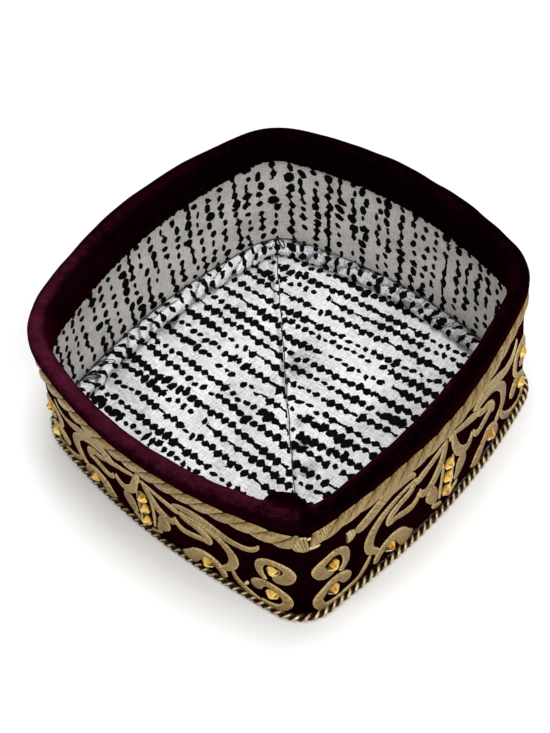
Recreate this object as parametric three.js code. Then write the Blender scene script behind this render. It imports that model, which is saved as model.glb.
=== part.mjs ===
// A square skullcap of wine velvet with gold embroidery and amber studs.
// It lies on its crown with the opening upwards. Millimetres, +Z up.
// The front corner points to +X and -Y, and the sides run close to the X and Y axes.

import * as THREE from 'three';

// Driving dimensions
const CAP_HEIGHT = 70;
const VELVET_THICKNESS = 2.0;
const LINING_THICKNESS = 1.2;
const SEWN_GAP = 0.3;

// Corners of the band's outer face at the rim and at the crown: azimuth in degrees, reach from the middle,
// and the cut along both sides that rounds the corner
const RIM_CORNERS = [
  { name: 'front', azimuth: -45.0, reach: 105.0, cut: 10 },
  { name: 'right', azimuth: 48.1, reach: 98.0, cut: 12 },
  { name: 'back', azimuth: 133.3, reach: 103.9, cut: 10 },
  { name: 'left', azimuth: 227.1, reach: 99.0, cut: 15 },
];
const CROWN_CORNERS = [
  { name: 'front', azimuth: -46.2, reach: 102.0, cut: 10 },
  { name: 'right', azimuth: 46.2, reach: 103.3, cut: 10 },
  { name: 'back', azimuth: 133.2, reach: 102.4, cut: 12 },
  { name: 'left', azimuth: 222.4, reach: 101.5, cut: 15 },
];

// Each side bows out between its corners, and its middle sags in by the waist
const SIDES = [
  { name: 'front_right', rimBow: 10.1, crownBow: 9.0, waist: -0.8 },
  { name: 'back_right', rimBow: 16.0, crownBow: 11.2, waist: 1.0 },
  { name: 'back_left', rimBow: 16.3, crownBow: 9.6, waist: 1.0 },
  { name: 'front_left', rimBow: 16.0, crownBow: 9.8, waist: 2.0 },
];

// How far the velvet facing hangs inside at each corner, and how far the embroidery rides up or down there
const CORNER_TRIM = [
  { name: 'front', facing: 18, lift: 0 },
  { name: 'right', facing: 19, lift: 3 },
  { name: 'back', facing: 15, lift: 0 },
  { name: 'left', facing: 23, lift: -3 },
];

// Rim binding: a roll over the top edge of the band
const BINDING_THICKNESS = 1.2;
const BINDING_OUTER_LEG = 7.5;
const BINDING_SHOULDER = 3;
const BINDING_CROWNING = 0.6;
const BINDING_TUCK = 0.5;

// Crown: flat where it lies, curling up at its edge
const CROWN_EDGE_INSET = 0.8;
const CROWN_EDGE_LIFT = 1.2;
const CROWN_BEND_INSET = 2.2;
const CROWN_BEND_LIFT = 0.35;
const CROWN_FLAT_INSET = 6;

// Cord round the crown
const CORD_DIAMETER = 3.0;
const CORD_SIDES = 8;
const CORD_HEIGHT = 2.2;

// Rope border under the rim
const ROPE_HEIGHT = 54.5;
const ROPE_WIDTH = 8.6;
const ROPE_DEPTH = 1.4;
const ROPE_STANDOFF = 0.55;
const ROPE_TURNS_PER_SIDE = 17;
const ROPE_PINCH = 0.78;
const ROPE_SHOULDER = 0.55;

// Lining
const SIDE_LINING_TOP = 62;
const SEAM_RIDGE_HEIGHT = 0.6;
const SEAM_RIDGE_INSET = 22;

// Gathered roll where the side lining meets the crown lining
const ROLL_WIDTH = 8.5;
const ROLL_HEIGHT = 6.4;
const ROLL_SIDES = 8;
const ROLL_LUMP = 0.7;
const ROLL_LUMPS_PER_SIDE = 6.5;

// Amber studs: octagonal, with a girdle, sixteen triangular facets and a table
const STUD = { girdleRadius: 2.7, girdleHeight: 1.1, tableRadius: 1.0, height: 3.3, facets: 8 };

// Places of the studs on a side: distance from the nearer corner along the side, and height
const CORNER_STUDS = [
  { name: 'upper_eye', fromCorner: 11.0, height: 30.0 },
  { name: 'lower_eye', fromCorner: 11.5, height: 12.5 },
  { name: 'leaf', fromCorner: 40.5, height: 10.5 },
];
const COLUMN_STUDS = [
  { name: 'column_top', height: 29.0 },
  { name: 'column_middle', height: 20.5 },
  { name: 'column_bottom', height: 11.5 },
];

// Sampling: stations along a side crowd towards its corners
const STATIONS_PER_SIDE = 20;
const CORNER_CROWDING = 0.55;
const ROPE_STATIONS_PER_TURN = 2;
const WALL_LEAN_LIMIT = 0.75;
const WALL_COURSES = 4;

// Finishes
const FINISHES = {
  velvet: { color: 0x2c0a18, roughness: 0.95, metalness: 0.0 },
  cotton: { color: 0xd9d9dc, roughness: 0.9, metalness: 0.0 },
  goldThread: { color: 0xa5875a, roughness: 0.6, metalness: 0.3 },
  goldCord: { color: 0xb89a5e, roughness: 0.45, metalness: 0.6 },
  amber: { color: 0xd08f28, roughness: 0.12, metalness: 0.2 },
};

const SIDE_COUNT = SIDES.length;
const RIM = { corners: RIM_CORNERS, bow: 'rimBow' };
const CROWN = { corners: CROWN_CORNERS, bow: 'crownBow' };

function cornerApex(level, index) {
  const corner = level.corners[index % SIDE_COUNT];
  const azimuth = THREE.MathUtils.degToRad(corner.azimuth);
  return new THREE.Vector2(Math.cos(azimuth), Math.sin(azimuth)).multiplyScalar(corner.reach);
}

// A side is a parabola on its chord, and this gives its blossom, so that equal arguments lie on the curve
function sideBlossom(level, index, first, second) {
  const start = cornerApex(level, index);
  const chord = cornerApex(level, index + 1).sub(start);
  const outward = new THREE.Vector2(chord.y, -chord.x).normalize();
  const middle = (first + second) / 2;
  const rise = 4 * SIDES[index % SIDE_COUNT][level.bow] * (middle - first * second);
  return start.addScaledVector(chord, middle).addScaledVector(outward, rise);
}

// The stretch of a side between the cuts of its two corners
function sideStretch(level, index) {
  const length = cornerApex(level, index).distanceTo(cornerApex(level, index + 1));
  const from = level.corners[index % SIDE_COUNT].cut / length;
  const to = 1 - level.corners[(index + 1) % SIDE_COUNT].cut / length;
  return {
    start: sideBlossom(level, index, from, from),
    control: sideBlossom(level, index, from, to),
    end: sideBlossom(level, index, to, to),
  };
}

function midpoint(a, b) {
  return a.clone().add(b).multiplyScalar(0.5);
}

// One face of the wall at the given level, from the middle of one rounded corner to the middle of the next
function facePath(level, index) {
  const previous = sideStretch(level, index + SIDE_COUNT - 1);
  const stretch = sideStretch(level, index);
  const next = sideStretch(level, index + 1);
  const apexIn = midpoint(cornerApex(level, index), stretch.start);
  const apexOut = midpoint(cornerApex(level, index + 1), stretch.end);
  const start = midpoint(apexIn, midpoint(cornerApex(level, index), previous.end));
  const finish = midpoint(apexOut, midpoint(cornerApex(level, index + 1), next.start));
  const path = new THREE.Path();
  path.moveTo(start.x, start.y);
  path.quadraticCurveTo(apexIn.x, apexIn.y, stretch.start.x, stretch.start.y);
  path.quadraticCurveTo(stretch.control.x, stretch.control.y, stretch.end.x, stretch.end.y);
  path.quadraticCurveTo(apexOut.x, apexOut.y, finish.x, finish.y);
  return path;
}

const facePaths = SIDES.map((side, index) => ({
  rim: facePath(RIM, index),
  crown: facePath(CROWN, index),
}));

// 0 at both ends and 1 in the middle
function arch(share) {
  return 4 * share * (1 - share);
}

// A point on the band's outer face, with share 0 to 1 along the side, moved inwards by depth
function wallPoint(index, share, depth, height) {
  const lean = height / CAP_HEIGHT;
  const low = facePaths[index].crown.getPoint(share);
  const high = facePaths[index].rim.getPoint(share);
  const lowTangent = facePaths[index].crown.getTangent(share);
  const highTangent = facePaths[index].rim.getTangent(share);
  const place = low.lerp(high, lean);
  const tangent = lowTangent.lerp(highTangent, lean).normalize();
  const outward = new THREE.Vector2(tangent.y, -tangent.x);
  const towardsMiddle = place.clone().normalize().negate();
  const facing = Math.max(-outward.dot(towardsMiddle), WALL_LEAN_LIMIT);
  const waist = SIDES[index].waist * arch(lean) * arch(share);
  place.addScaledVector(towardsMiddle, (depth + waist) / facing);
  return new THREE.Vector3(place.x, place.y, height);
}

function blendCorners(key, index, share) {
  const from = CORNER_TRIM[index][key];
  const to = CORNER_TRIM[(index + 1) % SIDE_COUNT][key];
  return THREE.MathUtils.lerp(from, to, share);
}

// Stations round the whole cap: crowded towards the corners, or evenly spaced
function crowdedStations() {
  const stations = [];
  for (let index = 0; index < SIDE_COUNT; index += 1) {
    for (let step = 0; step < STATIONS_PER_SIDE; step += 1) {
      const even = step / STATIONS_PER_SIDE;
      const share = even - (CORNER_CROWDING * Math.sin(2 * Math.PI * even)) / (2 * Math.PI);
      stations.push({ index, share, step });
    }
  }
  return stations;
}

function evenStations(perSide) {
  const stations = [];
  for (let index = 0; index < SIDE_COUNT; index += 1) {
    for (let step = 0; step < perSide; step += 1) {
      stations.push({ index, share: step / perSide, step });
    }
  }
  return stations;
}

function makeGeometry(points, triangles) {
  const geometry = new THREE.BufferGeometry();
  geometry.setFromPoints(points);
  geometry.setIndex(triangles.flat());
  geometry.computeVertexNormals();
  return geometry;
}

// A closed ring: each station holds a section listed from its outer foot up, over and down the inside
function ringGeometry(sections) {
  const count = sections[0].length;
  const triangles = [];
  sections.forEach((section, station) => {
    const next = (station + 1) % sections.length;
    for (let corner = 0; corner < count; corner += 1) {
      const above = (corner + 1) % count;
      const a = station * count + corner;
      const b = next * count + corner;
      const c = next * count + above;
      const d = station * count + above;
      triangles.push([a, b, c], [a, c, d]);
    }
  });
  return makeGeometry(sections.flat(), triangles);
}

// A closed disc: rings run from near the lower pole, round the edge, to near the upper pole
function discGeometry(lowerPole, rings, upperPole) {
  const count = rings[0].length;
  const points = [...rings.flat(), lowerPole, upperPole];
  const lower = points.length - 2;
  const upper = points.length - 1;
  const last = (rings.length - 1) * count;
  const triangles = [];
  for (let station = 0; station < count; station += 1) {
    const next = (station + 1) % count;
    triangles.push([lower, next, station]);
    triangles.push([last + station, last + next, upper]);
    for (let ring = 0; ring + 1 < rings.length; ring += 1) {
      const a = ring * count + station;
      const b = ring * count + next;
      const c = b + count;
      const d = a + count;
      triangles.push([a, b, c], [a, c, d]);
    }
  }
  return makeGeometry(points, triangles);
}

// A ring whose section is the same list of depths and heights all the way round
function plainRing(profile) {
  const sections = crowdedStations().map(({ index, share }) =>
    profile.map(([depth, height]) => wallPoint(index, share, depth, height)));
  return ringGeometry(sections);
}

// Depths from the band's outer face inwards, and heights from the floor
const BAND_FOOT = VELVET_THICKNESS + SEWN_GAP;
const LINING_OUTER = VELVET_THICKNESS + SEWN_GAP;
const LINING_INNER = LINING_OUTER + LINING_THICKNESS;
const FACING_OUTER = LINING_INNER + SEWN_GAP;
const FACING_INNER = FACING_OUTER + BINDING_THICKNESS;
const CROWN_LINING_TOP = BAND_FOOT + LINING_THICKNESS;
const SIDE_LINING_FOOT = CROWN_LINING_TOP + SEWN_GAP;
const BINDING_OUTER = -SEWN_GAP - BINDING_THICKNESS;
const BINDING_MIDDLE = (BINDING_OUTER + FACING_INNER) / 2;
const BINDING_UNDERSIDE = CAP_HEIGHT - BINDING_SHOULDER;
const BAND_TOP = BINDING_UNDERSIDE - SEWN_GAP;

// A wall between two depths, in enough courses to follow the sag of the sides
function wallRing(outerDepth, innerDepth, foot, top) {
  const outside = [];
  const inside = [];
  for (let course = 0; course <= WALL_COURSES; course += 1) {
    const height = THREE.MathUtils.lerp(foot, top, course / WALL_COURSES);
    outside.push([outerDepth, height]);
    inside.unshift([innerDepth, height]);
  }
  return plainRing([...outside, ...inside]);
}

function sideBand() {
  return wallRing(0, VELVET_THICKNESS, BAND_FOOT, BAND_TOP);
}

function sideLining() {
  return wallRing(LINING_OUTER, LINING_INNER, SIDE_LINING_FOOT, SIDE_LINING_TOP);
}

function rimBinding() {
  const outerFoot = CAP_HEIGHT - BINDING_OUTER_LEG;
  const shoulder = CAP_HEIGHT - BINDING_SHOULDER;
  const brow = CAP_HEIGHT - BINDING_CROWNING;
  const outerBrow = (BINDING_OUTER + BINDING_MIDDLE) / 2;
  const innerBrow = (FACING_INNER + BINDING_MIDDLE) / 2;
  const sections = crowdedStations().map(({ index, share }) => {
    const hem = CAP_HEIGHT - blendCorners('facing', index, share);
    const profile = [
      [-SEWN_GAP - BINDING_TUCK, outerFoot],
      [BINDING_OUTER, outerFoot + BINDING_SHOULDER],
      [BINDING_OUTER, shoulder],
      [outerBrow, brow],
      [BINDING_MIDDLE, CAP_HEIGHT],
      [innerBrow, brow],
      [FACING_INNER, shoulder],
      [FACING_INNER, hem],
      [FACING_OUTER, hem],
      [FACING_OUTER, BINDING_UNDERSIDE],
      [BINDING_MIDDLE, BINDING_UNDERSIDE + BINDING_TUCK],
      [-SEWN_GAP, BINDING_UNDERSIDE],
      [-SEWN_GAP, outerFoot],
    ];
    return profile.map(([depth, height]) => wallPoint(index, share, depth, height));
  });
  return ringGeometry(sections);
}

function crownCord() {
  const radius = CORD_DIAMETER / 2;
  const profile = [];
  for (let side = 0; side < CORD_SIDES; side += 1) {
    const angle = ((side + 0.5) / CORD_SIDES) * 2 * Math.PI;
    const depth = -SEWN_GAP - radius - radius * Math.cos(angle);
    profile.push([depth, CORD_HEIGHT + radius * Math.sin(angle)]);
  }
  return plainRing(profile);
}

// Each turn of the rope bulges in its middle and is pinched between turns
function ropeBorder() {
  const stations = evenStations(ROPE_TURNS_PER_SIDE * ROPE_STATIONS_PER_TURN);
  const sections = stations.map(({ index, share, step }) => {
    const swell = step % ROPE_STATIONS_PER_TURN === 0 ? ROPE_PINCH : 1;
    const half = (ROPE_WIDTH / 2) * swell;
    const shoulder = half * ROPE_SHOULDER;
    const face = -ROPE_STANDOFF - ROPE_DEPTH * swell;
    const middle = ROPE_HEIGHT + blendCorners('lift', index, share);
    const profile = [
      [-ROPE_STANDOFF, middle - half],
      [face, middle - shoulder],
      [face, middle + shoulder],
      [-ROPE_STANDOFF, middle + half],
    ];
    return profile.map(([depth, height]) => wallPoint(index, share, depth, height));
  });
  return ringGeometry(sections);
}

function discRing(stations, depth, height) {
  return stations.map(({ index, share }) => {
    const place = wallPoint(index, share, depth, 0);
    place.z = height;
    return place;
  });
}

function crown() {
  const stations = crowdedStations();
  const rings = [
    discRing(stations, CROWN_FLAT_INSET, 0),
    discRing(stations, CROWN_BEND_INSET, CROWN_BEND_LIFT),
    discRing(stations, CROWN_EDGE_INSET, CROWN_EDGE_LIFT),
    discRing(stations, CROWN_EDGE_INSET, VELVET_THICKNESS),
  ];
  return discGeometry(new THREE.Vector3(0, 0, 0), rings, new THREE.Vector3(0, 0, VELVET_THICKNESS));
}

// The seam stands up as a low ridge along the spokes to the front and back corners
function crownLining() {
  const stations = crowdedStations();
  const edge = discRing(stations, LINING_OUTER, CROWN_LINING_TOP);
  const beyondRoll = discRing(stations, FACING_OUTER + ROLL_WIDTH + SEWN_GAP, CROWN_LINING_TOP);
  const ridge = discRing(stations, SEAM_RIDGE_INSET, CROWN_LINING_TOP);
  stations.forEach(({ index, step }, station) => {
    const onSeam = step === 0 && index % 2 === 0;
    ridge[station].z += onSeam ? SEAM_RIDGE_HEIGHT : 0;
  });
  const rings = [discRing(stations, LINING_OUTER, BAND_FOOT), edge, beyondRoll, ridge];
  const upperPole = new THREE.Vector3(0, 0, CROWN_LINING_TOP + SEAM_RIDGE_HEIGHT);
  return discGeometry(new THREE.Vector3(0, 0, BAND_FOOT), rings, upperPole);
}

function liningSeamRoll() {
  const middleDepth = FACING_OUTER + ROLL_WIDTH / 2;
  const sections = crowdedStations().map(({ index, share }) => {
    const wave = Math.sin(2 * Math.PI * ROLL_LUMPS_PER_SIDE * (index + share));
    const halfHeight = (ROLL_HEIGHT - ROLL_LUMP * (1 - wave)) / 2;
    const halfWidth = (ROLL_WIDTH - ROLL_LUMP * (1 - wave)) / 2;
    const outer = middleDepth - ROLL_WIDTH / 2 + halfWidth;
    const section = [];
    for (let side = 0; side < ROLL_SIDES; side += 1) {
      const angle = ((side + 0.5) / ROLL_SIDES) * 2 * Math.PI;
      const height = SIDE_LINING_FOOT + halfHeight * (1 + Math.sin(angle));
      section.push(wallPoint(index, share, outer - halfWidth * Math.cos(angle), height));
    }
    return section;
  });
  return ringGeometry(sections);
}

function studRing(radius, height, turn) {
  const ring = [];
  for (let facet = 0; facet < STUD.facets; facet += 1) {
    const angle = ((facet + turn) / STUD.facets) * 2 * Math.PI;
    ring.push(new THREE.Vector3(radius * Math.cos(angle), radius * Math.sin(angle), height));
  }
  return ring;
}

// The table is turned by half a facet, so that the facets between it and the girdle are triangles
function studGeometry() {
  const rings = [
    studRing(STUD.girdleRadius, 0, 0),
    studRing(STUD.girdleRadius, STUD.girdleHeight, 0),
    studRing(STUD.tableRadius, STUD.height, -0.5),
  ];
  return discGeometry(new THREE.Vector3(0, 0, 0), rings, new THREE.Vector3(0, 0, STUD.height));
}

function makeMesh(name, geometry, finish) {
  const mesh = new THREE.Mesh(geometry, new THREE.MeshStandardMaterial(finish));
  mesh.name = name;
  return mesh;
}

// A stud sits square to the wall, just clear of the velvet
function placeStud(name, index, share, height) {
  const lifted = height + blendCorners('lift', index, share);
  const step = 0.001;
  const place = wallPoint(index, share, 0, lifted);
  const along = wallPoint(index, share + step, 0, lifted).sub(wallPoint(index, share - step, 0, lifted));
  const upward = wallPoint(index, share, 0, lifted + 1).sub(place);
  const outward = along.cross(upward).normalize();
  const stud = makeMesh(name, studGeometry(), FINISHES.amber);
  stud.position.copy(place).addScaledVector(outward, SEWN_GAP);
  stud.quaternion.setFromUnitVectors(new THREE.Vector3(0, 0, 1), outward);
  return stud;
}

function studs() {
  const group = new THREE.Group();
  SIDES.forEach((side, index) => {
    const length = facePaths[index].crown.getLength();
    CORNER_STUDS.forEach(({ name, fromCorner, height }) => {
      const share = fromCorner / length;
      group.add(placeStud(`stone_${side.name}_${name}_a`, index, share, height));
      group.add(placeStud(`stone_${side.name}_${name}_b`, index, 1 - share, height));
    });
    COLUMN_STUDS.forEach(({ name, height }) => {
      group.add(placeStud(`stone_${side.name}_${name}`, index, 0.5, height));
    });
  });
  return group;
}

// The whole cap, moved so that its box is centred over the origin and it lies on the floor
function skullcap() {
  const cap = new THREE.Group();
  cap.add(makeMesh('crown', crown(), FINISHES.velvet));
  cap.add(makeMesh('side_band', sideBand(), FINISHES.velvet));
  cap.add(makeMesh('rim_binding', rimBinding(), FINISHES.velvet));
  cap.add(makeMesh('side_lining', sideLining(), FINISHES.cotton));
  cap.add(makeMesh('crown_lining', crownLining(), FINISHES.cotton));
  cap.add(makeMesh('lining_seam_roll', liningSeamRoll(), FINISHES.cotton));
  cap.add(makeMesh('crown_cord', crownCord(), FINISHES.goldCord));
  cap.add(makeMesh('rope_border', ropeBorder(), FINISHES.goldThread));
  cap.add(studs());
  const box = new THREE.Box3().setFromObject(cap, true);
  const centre = box.getCenter(new THREE.Vector3());
  cap.position.set(-centre.x, -centre.y, -box.min.z);
  const placed = new THREE.Group();
  placed.add(cap);
  return placed;
}

export default skullcap();
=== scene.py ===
"""Looks of a square velvet skullcap that lies on its crown with the opening upwards.

Sizes are in millimetres and turn into metres as a mesh is made. A place on the wall is given by
its lap, which counts the sides anticlockwise from the front corner and comes round at four, by
its height over the floor and by its depth inside the outer face of the band.
"""

import logging
import math
from collections.abc import Sequence
from dataclasses import dataclass, field
from enum import Enum

import bmesh
import bpy
import numpy as np
from mathutils import Matrix, Vector


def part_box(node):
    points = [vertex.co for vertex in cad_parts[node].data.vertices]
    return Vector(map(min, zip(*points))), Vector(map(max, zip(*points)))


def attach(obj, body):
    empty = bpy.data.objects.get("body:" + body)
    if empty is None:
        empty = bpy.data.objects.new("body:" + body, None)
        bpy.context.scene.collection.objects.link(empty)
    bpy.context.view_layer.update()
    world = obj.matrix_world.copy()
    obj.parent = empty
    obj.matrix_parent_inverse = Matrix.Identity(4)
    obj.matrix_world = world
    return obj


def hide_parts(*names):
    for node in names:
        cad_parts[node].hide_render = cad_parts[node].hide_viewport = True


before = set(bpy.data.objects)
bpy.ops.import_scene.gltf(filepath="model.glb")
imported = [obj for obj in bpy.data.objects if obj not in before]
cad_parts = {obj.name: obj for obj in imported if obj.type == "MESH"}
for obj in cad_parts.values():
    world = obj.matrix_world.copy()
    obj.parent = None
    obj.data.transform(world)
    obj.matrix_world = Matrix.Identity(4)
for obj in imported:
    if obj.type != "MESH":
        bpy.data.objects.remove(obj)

LOG = logging.getLogger("skullcap")
MM = 0.001
SIDES_ROUND = 4
SIDE_LENGTH = 147.0
FULL_TURN = 2 * math.pi
HALF = 0.5
WELD = 0.002
CURVE_SAMPLES = 16
FEWEST_STATIONS = 4
NEARLY_UP = (0.02, 0.03, 1.0)
UP = (0.0, 0.0, 1.0)
MIX_INPUTS = (0, 6, 7)
MIX_RESULT = 2
CHART = "chart"
TONE = "tone"
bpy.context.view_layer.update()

Colour = tuple[float, float, float]
Station = tuple[float, float, float]
Pair = tuple[float, float]
Stop = tuple[float, Colour]


class Level(Enum):
    """The two outlines that the wall runs between."""

    CROWN = "crown"
    RIM = "rim"


class LeafTip(Enum):
    """How the upper leaf of the embroidery ends by a corner."""

    UPTURNED = "upturned"
    WRAPPED = "wrapped"


class Ending(Enum):
    """How a stroke of the embroidery ends."""

    ROUND = "round"
    CUT = "cut"


class Layer(Enum):
    """Slices of the noise that lie far enough apart to differ."""

    FIRST = 0.0
    BROAD = 2.0
    WEAR = 3.0
    FLECKS = 6.0
    SOIL = 7.0
    WARP = 11.0
    WEFT = 12.0


class Detail(Enum):
    """How many finer layers a noise has."""

    PLAIN = 1.0
    SOFT = 2.0
    FINE = 3.0
    FINEST = 4.0


@dataclass(frozen=True)
class Corner:
    """A corner of an outline: azimuth in degrees, reach from the middle, and its rounding cut."""

    azimuth: float
    reach: float
    cut: float

    def apex(self) -> np.ndarray:
        """The point that the two sides would meet in."""
        turn = math.radians(self.azimuth)
        return self.reach * np.array([math.cos(turn), math.sin(turn)])


@dataclass(frozen=True)
class Side:
    """A side of the cap: its name, how far its rim and crown edges bow out, and its waist."""

    name: str
    rim_bow: float
    crown_bow: float
    waist: float


def arch(share: np.ndarray) -> np.ndarray:
    """Nothing at both ends of a run and one in its middle."""
    return 4 * share * (1 - share)


def bump(offset: np.ndarray, spread: float) -> np.ndarray:
    """A bell of height one round an offset of nothing."""
    return np.exp(-((offset / spread) ** 2))


def from_corner(lap: np.ndarray, corner: float) -> np.ndarray:
    """The signed distance in laps from a corner, the short way round."""
    return (np.asarray(lap) - corner + SIDES_ROUND / 2) % SIDES_ROUND - SIDES_ROUND / 2


def share_of(value: np.ndarray, start: float, length: float) -> np.ndarray:
    """How far a value has come along a length from a start, from nothing to one."""
    return np.clip((value - start) / length, 0.0, 1.0)


def unit(vectors: np.ndarray) -> np.ndarray:
    """Vectors with the same directions and a length of one."""
    return vectors / np.linalg.norm(vectors, axis=-1)[..., None]


def way_along(points: np.ndarray) -> np.ndarray:
    """How far each point of a path is from its start, along the path."""
    return np.concatenate([[0], np.cumsum(np.linalg.norm(np.diff(points, axis=0), axis=-1))])


def whole_turn(count: int) -> np.ndarray:
    """Even places round the cap, a whole turn without its end."""
    return np.linspace(0, SIDES_ROUND, count, endpoint=False)


@dataclass
class WallForm:
    """The outer face of the band, which every piece is placed from, as the CAD part draws it."""

    height: float = 70.0
    samples: int = 300
    lean_limit: float = 0.75
    rim: tuple[Corner, ...] = (
        Corner(-45.0, 105.0, 10.0),
        Corner(48.1, 98.0, 12.0),
        Corner(133.3, 103.9, 10.0),
        Corner(227.1, 99.0, 15.0),
    )
    crown: tuple[Corner, ...] = (
        Corner(-46.2, 102.0, 10.0),
        Corner(46.2, 103.3, 10.0),
        Corner(133.2, 102.4, 12.0),
        Corner(222.4, 101.5, 15.0),
    )
    sides: tuple[Side, ...] = (
        Side("front_right", 10.1, 9.0, -0.8),
        Side("back_right", 16.0, 11.2, 1.0),
        Side("back_left", 16.3, 9.6, 1.0),
        Side("front_left", 16.0, 9.8, 2.0),
    )
    facing: tuple[float, ...] = (18.0, 19.0, 15.0, 23.0)
    lift: tuple[float, ...] = (0.0, 3.0, 0.0, -3.0)
    toe: float = 1.3
    toe_reach: float = 0.13
    toe_height: float = 24.0
    band_foot: float = 2.3
    band_top: float = 66.7
    band_rows: int = 9
    shift: np.ndarray = field(default_factory=lambda: np.zeros(2))

    def __post_init__(self) -> None:
        """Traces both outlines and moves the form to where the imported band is."""
        self._laps = np.linspace(0, SIDES_ROUND, SIDES_ROUND * self.samples + 1)
        self._outlines = {level: self._trace(level) for level in Level}
        self._tangents = {level: self._directions(level) for level in Level}
        self._move_to_band()

    def _corner(self, level: Level, index: int) -> Corner:
        """A corner of an outline, counted round from the front one."""
        return (self.rim if level is Level.RIM else self.crown)[index % SIDES_ROUND]

    def _blossom(self, level: Level, index: int, first: float, second: float) -> np.ndarray:
        """A control point of a bowed side.

        Args:
            level: which outline.
            index: the side, from the front corner.
            first: one end of the stretch, as a share of the side.
            second: the other end of the stretch.

        Returns:
            The point in millimetres.
        """
        side = self.sides[index % SIDES_ROUND]
        bow = side.rim_bow if level is Level.RIM else side.crown_bow
        start = self._corner(level, index).apex()
        chord = self._corner(level, index + 1).apex() - start
        outward = np.array([chord[1], -chord[0]]) / np.linalg.norm(chord)
        middle = (first + second) / 2
        return start + chord * middle + outward * 4 * bow * (middle - first * second)

    def _stretch(self, level: Level, index: int) -> tuple[np.ndarray, np.ndarray, np.ndarray]:
        """The start, control point and end of a side between its rounded corners.

        Args:
            level: which outline.
            index: the side, from the front corner.

        Returns:
            Three points in millimetres.
        """
        here = self._corner(level, index)
        there = self._corner(level, index + 1)
        length = np.linalg.norm(there.apex() - here.apex())
        first = here.cut / length
        last = 1 - there.cut / length
        return (
            self._blossom(level, index, first, first),
            self._blossom(level, index, first, last),
            self._blossom(level, index, last, last),
        )

    def _trace(self, level: Level) -> np.ndarray:
        """One outline, sampled evenly along each side.

        Args:
            level: which outline.

        Returns:
            Points of the closed outline, the first one repeated at the end.
        """
        share = np.linspace(0, 1, self.samples)[:, None]
        weights = ((1 - share) ** 2, 2 * share * (1 - share), share**2)
        outline = []
        for index in range(SIDES_ROUND):
            before = self._stretch(level, index - 1)
            start, control, end = self._stretch(level, index)
            after = self._stretch(level, index + 1)
            here = self._corner(level, index).apex()
            there = self._corner(level, index + 1).apex()
            enter = (here + start) / 2
            leave = (there + end) / 2
            first = (enter + (here + before[2]) / 2) / 2
            last = (leave + (there + after[0]) / 2) / 2
            legs = [(first, enter, start), (start, control, end), (end, leave, last)]
            dense = np.vstack([sum(weight * point for weight, point in zip(weights, leg)) for leg in legs])
            run = way_along(dense)
            wanted = np.linspace(0, run[-1], self.samples, endpoint=False)
            outline.append(np.column_stack([np.interp(wanted, run, dense[:, axis]) for axis in (0, 1)]))
        closed = np.vstack(outline)
        return np.vstack([closed, closed[:1]])

    def _directions(self, level: Level) -> np.ndarray:
        """Unit directions along one outline.

        Args:
            level: which outline.

        Returns:
            A direction for each of its points.
        """
        points = self._outlines[level][:-1]
        along = unit(np.roll(points, -1, axis=0) - np.roll(points, 1, axis=0))
        return np.vstack([along, along[:1]])

    def _move_to_band(self) -> None:
        """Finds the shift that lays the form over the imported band."""
        low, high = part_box("side_band")
        heights = np.linspace(self.band_foot, self.band_top, self.band_rows)[:, None]
        ring = self.point(self._laps[None, :], heights).reshape(-1, 3)
        middle = (ring.min(axis=0) + ring.max(axis=0)) / 2
        packed = np.array([(low[axis] + high[axis]) / 2 / MM for axis in (0, 1)])
        self.shift = packed - middle[:2]

    def _look_up(self, tables: dict[Level, np.ndarray], lap: np.ndarray, lean: np.ndarray) -> np.ndarray:
        """Values between the crown's and the rim's tables.

        Args:
            tables: one table for each level.
            lap: places round the cap.
            lean: shares of the way from crown to rim.

        Returns:
            Pairs of values, in the shape of lap with one more axis.
        """
        turn = np.mod(lap, SIDES_ROUND)
        pair = []
        for axis in (0, 1):
            low = np.interp(turn, self._laps, tables[Level.CROWN][:, axis])
            high = np.interp(turn, self._laps, tables[Level.RIM][:, axis])
            pair.append(low + (high - low) * lean)
        return np.stack(pair, axis=-1)

    def outward(self, lap: np.ndarray, height: np.ndarray) -> np.ndarray:
        """Level unit vectors that point out of the wall.

        Args:
            lap: places round the cap.
            height: heights over the floor.

        Returns:
            Vectors with three numbers each.
        """
        lap, height = np.broadcast_arrays(np.asarray(lap, float), np.asarray(height, float))
        along = unit(self._look_up(self._tangents, lap, height / self.height))
        return np.stack([along[..., 1], -along[..., 0], np.zeros_like(lap)], axis=-1)

    def point(self, lap: np.ndarray, height: np.ndarray, depth: np.ndarray = 0.0) -> np.ndarray:
        """Places on or behind the wall.

        Args:
            lap: places round the cap.
            height: heights over the floor.
            depth: how far inside the outer face.

        Returns:
            Points with three numbers each.
        """
        values = (np.asarray(value, float) for value in (lap, height, depth))
        lap, height, depth = np.broadcast_arrays(*values)
        lean = height / self.height
        place = self._look_up(self._outlines, lap, lean)
        inward = -unit(place)
        outward = self.outward(lap, height)[..., :2]
        facing = np.maximum(-(outward * inward).sum(axis=-1), self.lean_limit)
        index = np.mod(np.floor(lap), SIDES_ROUND).astype(int)
        waist = np.array([side.waist for side in self.sides])[index] * arch(lean) * arch(lap % 1)
        low = np.clip(1 - height / self.toe_height, 0.0, 1.0) ** 2
        waist = waist - self.toe * low * bump(from_corner(lap, 0.0), self.toe_reach)
        place = place + inward * ((depth + waist) / facing)[..., None] + self.shift
        return np.concatenate([place, height[..., None]], axis=-1)

    def raised(self, lap: np.ndarray, height: np.ndarray, relief: np.ndarray) -> np.ndarray:
        """Places that stand out of the wall by a relief."""
        return self.point(lap, height) + self.outward(lap, height) * np.asarray(relief)[..., None]

    def spokes(self, edge: np.ndarray, shares: np.ndarray) -> np.ndarray:
        """Points at shares of the way from the middle of the cap out to an edge."""
        middle = np.append(self.shift, 0.0)
        return middle + (edge - middle)[None] * shares[:, None, None]

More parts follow.
